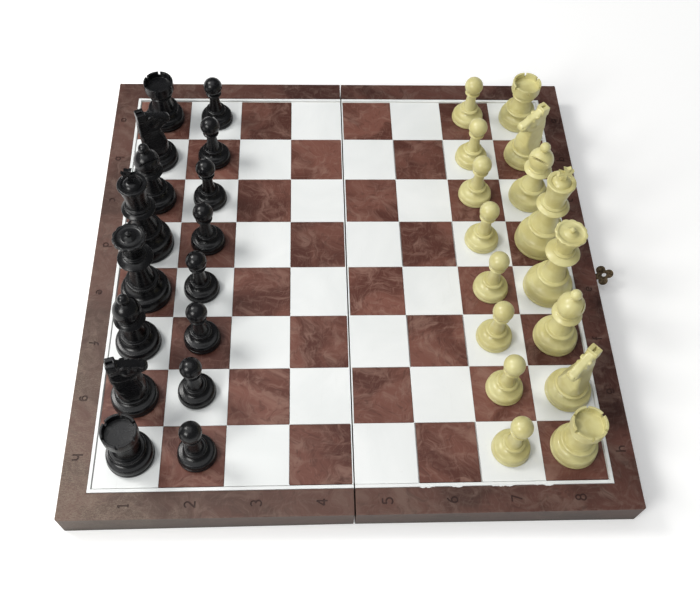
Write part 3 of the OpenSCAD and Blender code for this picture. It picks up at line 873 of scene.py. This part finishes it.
def bishop(h, base_r):
    ball_r, mitre_r, slit_w = 3.6, 8.6, 1.4
    mitre_z, neck_z = h - 15.6, h - 2 * ball_r
    points = foot(base_r, 7.6, base_r * 0.67, 14)
    points += sweep((7.2, 14.9), (-1.4, 4), (0, 6), (4.3, h - 27), 10)
    points += collar(base_r * 0.675, h - 25.2, 1.5, 7.4, h - 22.9)
    points += arc(6.9, h - 22.5, 0.6, 0.6, -60, 100, 5)
    points += sweep((6.2, h - 21.7), (1.2, 0.9), (0, -2.2), (mitre_r, mitre_z - 0.6), 9)[1:]
    points += sweep((mitre_r, mitre_z - 0.6), (0, 5.2), (-3.4, 1.5), (2.2, neck_z + 0.2), 16)[1:]
    points += arc(0, h - ball_r, ball_r, ball_r, -55, 90, 16)
    slit = block((0, -mitre_r - 1, 0), (slit_w, mitre_r + 1, mitre_r * 1.5))
    at = Matrix.Translation((mitre_r * 0.45, 0, mitre_z + 3))
    lean = Matrix.Rotation(math.radians(35), 4, "Y")
    slit.transform(Matrix.Scale(MM, 4) @ at @ lean)
    return combined(turned(points), [slit], "DIFFERENCE")


def queen(h, base_r):
    r, scallops = 10.3, 12
    rim_z = h - 4.2
    points = foot(base_r, 9.4, base_r * 0.66, 18)
    points += sweep((8.2, 18.9), (-1.4, 5), (0, 7), (5.2, h - 28), 11)
    points += collar(base_r * 0.68, h - 25.7, 1.6, 7.2, h - 23.1)
    points += arc(6.5, h - 22.3, 0.8, 0.8, -70, 110, 6) + [(5.3, h - 21.2)]
    points += sweep((5.3, h - 21), (0.1, 6), (2.6, 5), (r - 0.6, rim_z - 2.4), 14)
    points += [(r, rim_z - 1.4), (r, rim_z - 0.3), (r - 0.6, rim_z), (r - 2, rim_z)]
    points += sweep((r - 2, rim_z), (-0.8, -0.9), (-1.6, 0.2), (4.6, rim_z - 0.5), 6)[1:]
    points += sweep((4.6, rim_z - 0.5), (-1, 0.8), (-0.8, 0.4), (1.7, rim_z + 1.1), 6)[1:]
    points += arc(0, h - 1.8, 1.8, 1.8, -42, 90, 12)
    rise = (rim_z - 4, rim_z - 1)
    return turned(points, scallops * 12, scallops, depth=0.55, rise=rise, inner=r * 0.8)


def cross_outline(w, height):
    """A cross with splayed arms whose ends are hollowed between two points."""
    arm, waist, flare, dent = height * 0.56, w * 0.1, w * 0.25, w * 0.09
    upper = height - arm
    right = [(flare * 0.8, 0), (waist, arm - waist), (w / 2, arm - flare), (w / 2 - dent, arm)]
    right += [(w / 2, arm + flare), (waist, arm + waist)]
    right += [(flare, arm + upper), (0, arm + upper - dent)]
    return right + [(-x, y) for x, y in reversed(right[:-1])]


def king(h, base_r):
    r, cross_w, cross_h, cross_t = 9.4, 9.6, 11.6, 2.6
    head_z = h - cross_h - 1.9
    points = foot(base_r, 10.6, base_r * 0.7, 20)
    points += sweep((9.4, 20.9), (-1.6, 5), (0, 7), (5.6, h - 40), 11)
    points += collar(base_r * 0.65, h - 37.5, 1.6, 8.6, h - 35.2)
    points += arc(7.7, h - 34.4, 0.8, 0.8, -70, 110, 6)
    points += sweep((6.8, h - 33.2), (-0.2, 6), (1.2, 6), (r - 0.4, head_z - 1.8), 10)
    points += [(r, head_z - 1.2), (r, head_z - 0.5), (r - 0.6, head_z), (r - 2.6, head_z)]
    points += sweep((r - 3.2, head_z - 0.8), (-1, 1.8), (-2, 0.6), (2.4, head_z + 2.2), 8)
    body = turned(points + [(0, head_z + 2.4)])
    cross = plate(cross_outline(cross_w, cross_h), -cross_t / 2, cross_t / 2, edge=0.3)
    stand = Matrix.Translation((0, 0, h - cross_h)) @ Matrix.Rotation(math.radians(90), 4, "X")
    cross.transform(Matrix.Scale(MM, 4) @ stand)
    return combined(body, [cross], "UNION")


# ---------- the knight, carved as a distance field ----------


def outline_distance(u, v, outline):
    """Signed distance from points (u, v) to a closed outline, negative inside."""
    points = np.array(outline, float)
    nearest = np.full(u.shape, 1e9)
    inside = np.zeros(u.shape, bool)
    for (ax, ay), (bx, by) in zip(points, np.roll(points, -1, axis=0)):
        ex, ey = bx - ax, by - ay
        length = max(ex * ex + ey * ey, 1e-12)
        t = np.clip(((u - ax) * ex + (v - ay) * ey) / length, 0, 1)
        nearest = np.minimum(nearest, np.hypot(u - ax - t * ex, v - ay - t * ey))
        if abs(ey) > 1e-12:
            crosses = (ay > v) != (by > v)
            inside ^= crosses & (u < ax + (v - ay) * ex / ey)
    return np.where(inside, -nearest, nearest)


def blend_out(a, b, reach):
    """Smooth maximum: the overlap of two solids with a rounded edge."""
    share = np.clip(0.5 - 0.5 * (b - a) / reach, 0, 1)
    return b * (1 - share) + a * share + reach * share * (1 - share)


def blend_in(a, b, reach):
    """Smooth minimum: two solids run together with a fillet."""
    return -blend_out(-a, -b, reach)


def ellipsoid(x, y, z, centre, radii):
    scaled = [(axis - c) / r for axis, c, r in zip((x, y, z), centre, radii)]
    return (np.sqrt(sum(s * s for s in scaled)) - 1) * min(radii)


def rod(x, y, z, a, b, radius):
    """Distance to a round bar from a to b."""
    a, b = np.array(a, float), np.array(b, float)
    along = b - a
    t = sum((axis - a[k]) * along[k] for k, axis in enumerate((x, y, z))) / along.dot(along)
    t = np.clip(t, 0, 1)
    gaps = [axis - a[k] - t * along[k] for k, axis in enumerate((x, y, z))]
    return np.sqrt(sum(g * g for g in gaps)) - radius


def skin(field, origin, step):
    """The closed zero surface of a sampled field, one point for each cell that it crosses."""
    size = [n - 1 for n in field.shape]

    def part(array, offset):
        return array[tuple(slice(o, o + n) for o, n in zip(offset, size))]

    corners = [(i, j, k) for i in (0, 1) for j in (0, 1) for k in (0, 1)]
    within = sum(part(field, c) < 0 for c in corners)
    crossed = (within > 0) & (within < 8)
    total, hits = np.zeros((*size, 3)), np.zeros(size)
    for axis in range(3):
        for corner in (c for c in corners if c[axis] == 0):
            far = tuple(c + (1 if k == axis else 0) for k, c in enumerate(corner))
            a, b = part(field, corner), part(field, far)
            cut = (a < 0) != (b < 0)
            spot = np.zeros((*size, 3)) + np.array(corner, float)
            spot[..., axis] += np.where(cut, a / np.where(cut, a - b, 1), 0)
            total += spot * cut[..., None]
            hits += cut
    number = np.full(size, -1)
    number[crossed] = np.arange(crossed.sum())
    cells = np.argwhere(crossed)
    points = (cells + total[crossed] / hits[crossed][:, None]) * step + np.array(origin)
    faces = []
    for axis in range(3):
        one, two = [k for k in range(3) if k != axis]
        a = field[tuple(slice(1 if k != axis else 0, -1) for k in range(3))]
        b = field[tuple(slice(1, -1) if k != axis else slice(1, None) for k in range(3))]
        for rising, order in ((True, (0, 1, 2, 3)), (False, (3, 2, 1, 0))):
            edges = np.argwhere(((a < 0) & (b >= 0)) if rising else ((a >= 0) & (b < 0)))
            for cell in edges:
                base = cell.copy()
                base[one] += 1
                base[two] += 1
                ring = []
                for d1, d2 in ((-1, -1), (0, -1), (0, 0), (-1, 0)):
                    at = base.copy()
                    at[one] += d1
                    at[two] += d2
                    ring.append(int(number[tuple(at)]))
                if axis == 1:
                    ring.reverse()
                faces.append([ring[k] for k in order])
    return points, faces


def rounded_box(x, y, z, low, high, edge):
    """Distance to a box with rounded edges."""
    sides = zip((x, y, z), low, high)
    gaps = [abs(axis - (a + b) / 2) - (b - a) / 2 + edge for axis, a, b in sides]
    outside = np.sqrt(sum(np.maximum(g, 0) ** 2 for g in gaps))
    widest = np.maximum(np.maximum(gaps[0], gaps[1]), gaps[2])
    return outside + np.minimum(widest, 0) - edge


def knight_head(h):
    """Neck and head of a knight that faces +X, from its side and front outlines."""
    ear_w, brow_w = 3.6, 3.0
    side = [(-8.8, 10.6), (8.8, 10.6)]
    side += sweep((9, 13), (0.5, 5), (-1, 3), (5.6, h - 20), 10)
    side += [(5.4, h - 17.6), (8, h - 15.8), (11.2, h - 14.6)]
    side += arc(11, h - 11.6, 2.7, 3, -60, 80, 8)
    side += [(8, h - 6.8), (1.6, h - 4.2), (-2, h - 2.4)]
    side += [(-3.2, h - 1.5), (-7.6, h - 1.5), (-8.6, h - 2)]
    side += sweep((-9.0, h - 6), (-0.6, -6), (0.6, -8), (-9, 13), 10)
    half_front = [(8.6, 10.6)] + sweep((8.6, 13), (-0.6, 5), (0, 6), (brow_w + 1.2, h - 17), 10)
    half_front += [(brow_w, h - 11.5), (brow_w, h + 0.4)]
    front = half_front + [(-y, z) for y, z in reversed(half_front)]
    step = 0.36
    origin = (-11.2, -10.4, 9.8)
    axes = [np.arange(o, e, step) for o, e in zip(origin, (15.2, 10.5, h + 1))]
    x, y, z = np.meshgrid(*axes, indexing="ij")
    side_gap = outline_distance(*np.meshgrid(axes[0], axes[2], indexing="ij"), side)[:, None, :]
    front_gap = outline_distance(*np.meshgrid(axes[1], axes[2], indexing="ij"), front)[None, :, :]
    head = blend_out(side_gap + 0 * x, front_gap + 0 * x, 2.2)
    head = blend_out(head, np.where(z < h - 20, np.hypot(x, y) - 9.3, -9.0), 0.6)
    a_side = abs(y)
    # Jaw, muzzle, ears, brow and eye
    head = blend_in(head, ellipsoid(x, y, z, (1.8, 0, h - 11.8), (4.6, 4.0, 4.2)), 1.2)
    head = blend_in(head, ellipsoid(x, y, z, (10.4, 0, h - 11.4), (3.3, 3.6, 3.0)), 1.0)
    head = blend_in(head, rounded_box(x, y, z, (-8.7, -ear_w, h - 7), (-2.8, ear_w, h), 0.5), 0.5)
    head = blend_in(head, ellipsoid(x, a_side, z, (0.4, 3.0, h - 5.2), (1.8, 1.1, 1.2)), 0.3)
    head = blend_in(head, ellipsoid(x, a_side, z, (3.6, 3.1, h - 7.4), (1.3, 0.7, 0.9)), 0.25)
    # Mouth, nostril, mane and the slot between the ears
    head = blend_out(head, -rod(x, a_side, z, (8.2, 3.4, h - 13.2), (14, 2.9, h - 12.8), 0.45), 0.3)
    head = blend_out(head, -ellipsoid(x, a_side, z, (12.2, 2.6, h - 10.0), (0.8, 0.9, 0.55)), 0.3)
    for k in range(4):
        z0, out = h - 10 - 5.4 * k, 3.9 + 0.95 * k
        groove = rod(x, a_side, z, (-10, out - 0.4, z0), (-5.0, out + 0.6, z0 - 3.4), 0.75)
        head = blend_out(head, -groove, 0.8)
    slot = np.maximum(np.maximum(abs(y) - 0.75, -(z - (h - 2.4))), np.maximum(x + 3.9, -(x + 7.8)))
    head = blend_out(head, -slot, 0.3)
    points, faces = skin(head, origin, step)
    return mesh_from(points * MM, faces)


def knight(h, base_r):
    foot_part = turned(foot(base_r, 7.2, base_r * 0.74, 11.4) + [(0, 12.3)])
    return combined(foot_part, [knight_head(h)], "UNION")


MAKERS = {
    "pawn": pawn,
    "rook": rook,
    "bishop": bishop,
    "queen": queen,
    "king": king,
    "knight": knight,
}

# Directions that the knights face and the bishops' slits look, in degrees from +X
FACING = {
    "black_front_knight": 15,
    "black_back_knight": 25,
    "cream_front_knight": 222,
    "cream_back_knight": 212,
    "cream_back_bishop": 235,
    "black_back_bishop": 300,
    "black_front_bishop": 40,
}


def give_tone(mesh, tone):
    """One tone for the whole mesh, which its finish reads."""
    mottle = mesh.attributes.new("mottle", "FLOAT", "POINT")
    mottle.data.foreach_set("value", np.full(len(mesh.vertices), tone, np.float32))


def make_men():
    shapes = {}
    chance = random.Random(11)
    for node in sorted(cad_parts):
        kind = next((k for k in MAKERS if k in node), None)
        if kind is None:
            continue
        low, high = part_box(node)
        if kind not in shapes:
            size = ((high.z - low.z) / MM, (high.x - low.x) / 2 / MM)
            shapes[kind] = smooth(MAKERS[kind](*size))
        place = Vector(((low.x + high.x) / 2, (low.y + high.y) / 2, low.z))
        mesh = moved(shapes[kind], place, math.radians(FACING.get(node, 0)))
        give_tone(mesh, chance.random())
        colour = node.split("_")[0]
        add_piece("turned_" + node, mesh, node, colour + "_plastic", [node])


# ---------- the board ----------


def ring(cx, cz, rx, rz):
    """Two overlapping half rings."""
    return [arc(cx, cz, rx, rz, -5, 185, 12), arc(cx, cz, rx, rz, 175, 365, 12)]


# Strokes of the border's figures in millimetres: across, up
STROKES = {
    "1": [[(-1.2, 1.7), (0, 3)], [(0, 3.2), (0, -3.2)], [(-0.9, -3), (0.9, -3)]],
    "2": [arc(0, 1.4, 1.6, 1.6, 165, -35, 12) + [(-1.7, -2.9)], [(-1.9, -2.9), (1.9, -2.9)]],
    "3": [arc(-0.1, 1.5, 1.5, 1.5, 150, -80, 12), arc(-0.1, -1.4, 1.8, 1.6, 85, -150, 14)],
    "4": [[(0.8, -3.2), (0.8, 3.2)], [(0.9, 3.2), (-1.9, -1.2)], [(-2, -1.2), (2, -1.2)]],
    "5": [
        [(1.6, 2.9), (-1.3, 2.9)],
        [(-1.2, 3), (-1.5, 0.4)],
        arc(-0.2, -1.1, 1.9, 1.9, 128, -150, 14),
    ],
    "6": [*ring(0, -1.3, 1.6, 1.7), sweep((-1.6, -1.3), (0, 2.4), (1.2, 0.8), (1.1, 3.1), 8)],
    "7": [[(-1.9, 2.9), (1.9, 2.9)], [(1.8, 3.2), (-0.5, -3.2)]],
    "8": [*ring(0, 1.6, 1.4, 1.4), *ring(0, -1.45, 1.7, 1.65)],
    "a": [*ring(0, -1.2, 1.4, 1.6), [(1.5, 0.6), (1.5, -3)]],
    "b": [*ring(0, -1.2, 1.4, 1.6), [(-1.5, 3.2), (-1.5, -3)]],
    "c": [arc(0, -1.2, 1.5, 1.7, 50, 310, 16)],
    "d": [*ring(0, -1.2, 1.4, 1.6), [(1.5, 3.2), (1.5, -3)]],
    "e": [arc(0, -1.2, 1.5, 1.7, -5, 315, 18), [(-1.4, -1.2), (1.6, -1.2)]],
    "f": [[(-0.3, -3), (-0.3, 2)], arc(0.8, 1.9, 1.1, 1.1, 185, 50, 8), [(-1.4, 0.7), (1.2, 0.7)]],
    "g": [
        *ring(0, -0.6, 1.4, 1.5),
        [(1.5, 0.9), (1.5, -2.2)],
        arc(0.1, -2.1, 1.4, 1.4, 5, -150, 9),
    ],
    "h": [[(-1.5, 3.2), (-1.5, -3)], arc(0, -0.8, 1.5, 1.4, 178, 0, 10) + [(1.5, -3)]],
}


def ribbon(line, width):
    """The closed outline of a line of points thickened to a width."""
    left, right = [], []
    for i, point in enumerate(line):
        before = Vector(point) - Vector(line[max(i - 1, 0)])
        after = Vector(line[min(i + 1, len(line) - 1)]) - Vector(point)
        along = (before.normalized() + after.normalized()).normalized()
        aside = Vector((-along.y, along.x)) * width / 2
        if before.length and after.length:
            aside /= max(0.5, along.dot(after.normalized()))
        left.append(Vector(point) + aside)
        right.append(Vector(point) - aside)
    return left + right[::-1]


def figure(character, place, turn):
    """The cutters of one sunk figure of the border."""
    cutters = []
    for line in STROKES[character]:
        cutter = plate(ribbon(line, FIGURE_STROKE), -FIGURE_DEPTH / MM, 1.0)
        stand = Matrix.Translation(place) @ Matrix.Rotation(turn, 4, "Z")
        cutter.transform(stand @ Matrix.Scale(MM, 4))
        cutters.append(cutter)
    return cutters


def border_figures(side):
    """Numbers along the front border and letters up the outer border of one half."""
    middle = (HALF + PANEL_HI.y) / 2
    cutters = []
    for file in range(FILES):
        x = (file - FILES / 2 + 0.5) * SQUARE
        if x * side > 0:
            cutters += figure(str(file + 1), (x, -middle, TOP), math.radians(90))
    for row in range(FILES):
        y = (row - FILES / 2 + 0.5) * SQUARE
        letter = "hgfedcba"[row]
        cutters += figure(letter, (side * middle, y, TOP), math.radians(90 * side))
    return cutters


def mark_sunk(mesh, low, high):
    """Marks the floors of what is let into the top, between two heights."""
    heights = np.array([v.co.z for v in mesh.vertices])
    sunk = mesh.attributes.new("sunk", "FLOAT", "POINT")
    sunk.data.foreach_set("value", ((heights > low) & (heights < high)).astype(np.float32))


def make_frames():
    for side, name in SIDES:
        mesh = softened_copy(name + "_frame", 0.35 * MM, 5 * MM)
        mesh = combined(mesh, border_figures(side), "DIFFERENCE")
        mark_sunk(mesh, TOP - FIGURE_DEPTH - 0.01 * MM, TOP - FIGURE_DEPTH + 0.01 * MM)
        node = name + "_frame"
        add_piece("moulded_" + node, smooth(mesh), name + "_half", "brown_plastic", [node])


def flash_strip(start, stop, seed):
    """Ragged flash left along the outside of the rim."""
    chance = random.Random(seed)
    pitch = 0.6 * MM
    count = int((stop - start) / pitch)
    edge_y, low, high = -PANEL_HI.y + 0.1 * MM, TOP - 0.06 * MM, TOP + 0.16 * MM
    width, widths = 0.0, []
    for _ in range(count + 1):
        width = max(-0.5 * MM, min(0.75 * MM, width + chance.uniform(-0.42, 0.42) * MM))
        widths.append(max(0.0, width))
    points, faces = [], []
    for i, reach in enumerate(widths):
        x = start + i * pitch
        outer = edge_y - 0.1 * MM - reach
        points += [(x, edge_y, low), (x, outer, low), (x, outer, high), (x, edge_y, high)]
    for i in range(count):
        a, b = 4 * i, 4 * i + 4
        faces += [(a + k, a + (k + 1) % 4, b + (k + 1) % 4, b + k) for k in range(4)]
    faces += [(0, 3, 2, 1), tuple(4 * count + k for k in range(4))]
    shape = bmesh.new()
    shape.from_mesh(mesh_from(points, faces))
    bmesh.ops.recalc_face_normals(shape, faces=shape.faces)
    return mesh_of(shape, "flash")


def make_panels():
    for side, name in SIDES:
        mesh = softened_copy(name + "_white_panel", 0.16 * MM, 5 * MM)
        for vertex in mesh.vertices:
            if abs(vertex.co.z - GROOVE_Z) < 0.02 * MM:
                vertex.co.z = GROOVE_Z + GROOVE_RISE
        if side > 0:
            mesh = joined(mesh, flash_strip(38 * MM, 118 * MM, seed=5))
        nodes = [name + "_white_panel"]
        add_piece("moulded_" + name + "_panel", smooth(mesh), name + "_half", "white_plastic", nodes)


def make_squares():
    half_files = FILES // 2
    for side, name in SIDES:
        low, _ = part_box(name + "_brown_squares")
        mesh = SQUARES.grow(
            Files=half_files,
            Rows=FILES,
            Parity=0,
            Square=SQUARE,
            Plate=SQUARE - 2 * INLAY_FIT,
            Corner=INLAY_CORNER,
            Thickness=INLAY_HI.z - INLAY_LO.z,
            Edge=INLAY_EDGE,
            First_X=0.0 if side > 0 else -half_files * SQUARE,
            Bottom=low.z,
            Seam_file=0 if side > 0 else half_files - 1,
            Seam_cut=SEAM_LIP + SEAM,
            Seam_side=float(side),
            Seed=4 + side,
            Material=FINISHES["brown_squares"],
        )
        nodes = [name + "_brown_squares"]
        add_piece("let_in_" + name + "_squares", smooth(mesh), name + "_half", "brown_squares", nodes)


# ---------- hinges, latch and catch ----------


def countersunk_screw(length):
    """A slotted countersunk screw, head down at z = 0, in millimetres."""
    points = [(0, 0.12), (1.0, 0), (1.9, 0), (1.96, 0.08)]
    points += [(1, 0.8), (1, length - 1.6), (0, length)]
    slot = block((-3, -0.25, -1), (3, 0.25, 0.45))
    slot.transform(Matrix.Scale(MM, 4))
    return combined(turned(points, steps=40), [slot], "DIFFERENCE")


def round_nail(length):
    """A domed nail along +Z, its head's seat at z = 0, in millimetres."""
    points = [(0, -length), (NAIL_R, -length + 0.7), (NAIL_R, 0), (NAIL_HEAD_R, 0)]
    return turned(points + arc(0, 0, NAIL_HEAD_R, NAIL_DOME, 8, 90, 6), steps=32)


def fixings(name, fixing, body, slot_name, node, **places):
    holder = carried(fixing)
    mesh = FIXINGS.grow(Fixing=holder, Material=FINISHES[slot_name], **places)
    bpy.data.objects.remove(holder)
    add_piece(name, smooth(mesh), body, slot_name, [node])


def add_metal(name, node, body, slot_name, width, shortest, cutters=()):
    """A small metal piece: the CAD node with softened edges, and what is stamped into it."""
    mesh = combined(softened_copy(node, width * MM, shortest), cutters, "DIFFERENCE")
    add_piece(name, smooth(mesh), body, slot_name, [node])


def make_hinges():
    screw = countersunk_screw(6)
    for side, name in SIDES:
        leaves, screws, half = name + "_hinge_leaves", name + "_hinge_screws", name + "_half"
        add_metal("pressed_" + name + "_leaves", leaves, half, "hinge_brass", 0.12, SHORT_EDGE)
        fixings(
            "turned_" + name + "_screws",
            screw,
            half,
            "hinge_brass",
            screws,
            Count=4,
            Pair_distance=2 * HINGE_Y,
            Spacing=2 * LEAF_HOLE_Y,
            Centre=(side * LEAF_HOLE_X, 0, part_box(screws)[0].z),
            Tilt=0.0,
            Seed=7,
        )
    add_metal("drawn_hinge_pins", "hinge_pins", "left_half", "hinge_steel", 0.1, NO_EDGE)


def hasp_dishes():
    """Shallow round dishes stamped into the hasp's three lobes."""
    low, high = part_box("latch_pin")
    at = Matrix.Translation((low + high) / 2) @ Matrix.Rotation(math.radians(-HASP_TILT), 4, "Y")
    face = HASP_THICK / 2
    floor = face - DISH_DEPTH
    cutters = []
    for along, across, r in HASP_DISHES:
        dish = turned([(0, floor), (r - DISH_SLOPE, floor), (r, face), (r, 1), (0, 1)], steps=40)
        dish.transform(at @ Matrix.Translation((along * MM, across * MM, 0)))
        cutters.append(dish)
    return cutters


def make_latch():
    for node, body, width, cutters in (
        ("latch_plate", "right_half", 0.15, ()),
        ("latch_hasp", "hasp", 0.12, hasp_dishes()),
        ("catch_plate", "left_half", 0.15, ()),
    ):
        add_metal("pressed_" + node, node, body, "antique_brass", width, SHORT_EDGE, cutters)
    add_metal("drawn_latch_pin", "latch_pin", "right_half", "antique_brass", 0.1, NO_EDGE)
    for node, body, side in (("latch_nails", "right_half", 1), ("catch_nails", "left_half", -1)):
        low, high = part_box(node)
        middle = (low + high) / 2
        seat = (high.x if side > 0 else low.x) - side * NAIL_HEAD_T * MM
        fixings(
            "domed_" + node,
            round_nail((high.x - low.x) / MM - NAIL_HEAD_T),
            body,
            "antique_brass",
            node,
            Count=2,
            Pair_distance=0.0,
            Spacing=high.y - low.y - 2 * NAIL_HEAD_R * MM,
            Centre=(seat, middle.y, middle.z),
            Tilt=side * math.pi / 2,
            Seed=3,
        )


# ---------- camera, light and floor ----------


def make_camera():
    """The camera looks down from over the near edge, turned and tipped slightly."""
    elevation, turn, roll = (math.radians(a) for a in (CAMERA_DOWN, CAMERA_TURN, CAMERA_ROLL))
    ahead = Vector((math.sin(turn), math.cos(turn), 0)) * math.cos(elevation)
    ahead.z = -math.sin(elevation)
    level = ahead.cross(Vector((0, 0, 1))).normalized()
    up = level.cross(ahead)
    right = level * math.cos(roll) + up * math.sin(roll)
    top = up * math.cos(roll) - level * math.sin(roll)
    data = bpy.data.cameras.new("camera")
    data.lens = CAMERA_LENS
    camera = bpy.data.objects.new("camera", data)
    bpy.context.scene.collection.objects.link(camera)
    eye = Vector(CAMERA_AT) * SQUARE + Vector((0, 0, FIELD_Z))
    axes = Matrix((right, top, -ahead)).transposed().to_4x4()
    camera.matrix_world = Matrix.Translation(eye) @ axes
    bpy.context.scene.camera = camera


def area_light(name, place, target, size, power, colour):
    data = bpy.data.lights.new(name, "AREA")
    data.shape = "RECTANGLE"
    data.size, data.size_y = size
    data.energy = power
    data.color = colour
    light = bpy.data.objects.new(name, data)
    bpy.context.scene.collection.objects.link(light)
    light.location = place
    light.rotation_mode = "QUATERNION"
    light.rotation_quaternion = (Vector(target) - Vector(place)).to_track_quat("-Z", "Y")


def make_studio():
    world = bpy.data.worlds.new("studio")
    bpy.context.scene.world = world
    world.use_nodes = True
    tree = Tree(world.node_tree)
    tree.nodes.clear()
    seen = tree.node("ShaderNodeLightPath", out="Is Camera Ray")
    values = {"Color": (0.97, 0.985, 1, 1), "Strength": seen * 0.8 + 0.2}
    sky = tree.node("ShaderNodeBackground", None, values)
    output = tree.nodes.new("ShaderNodeOutputWorld")
    tree.links.new(sky.socket, output.inputs["Surface"])
    area_light("key", (-0.6, 0.2, 0.76), (0, 0, 0), (0.26, 0.26), 3.9, (1, 0.985, 0.96))
    area_light("window", (-0.78, -0.72, 0.78), (-0.05, -0.05, 0), (0.5, 0.4), 8.6, (1, 0.99, 0.965))
    area_light("ceiling", (-0.34, 0.02, 1.15), (-0.1, 0, 0), (1.2, 1.3), 6.2, (0.98, 0.99, 1))
    reach = 4
    points = [(-reach, -reach, 0), (reach, -reach, 0), (reach, reach, 0), (-reach, reach, 0)]
    mesh = mesh_from(points, [(0, 1, 2, 3)])
    mesh.materials.append(floor_finish())
    floor = bpy.data.objects.new("floor", mesh)
    bpy.context.scene.collection.objects.link(floor)
    bpy.context.scene.view_settings.view_transform = "Standard"


make_camera()
make_studio()
make_frames()
make_panels()
make_squares()
make_hinges()
make_latch()
make_men()
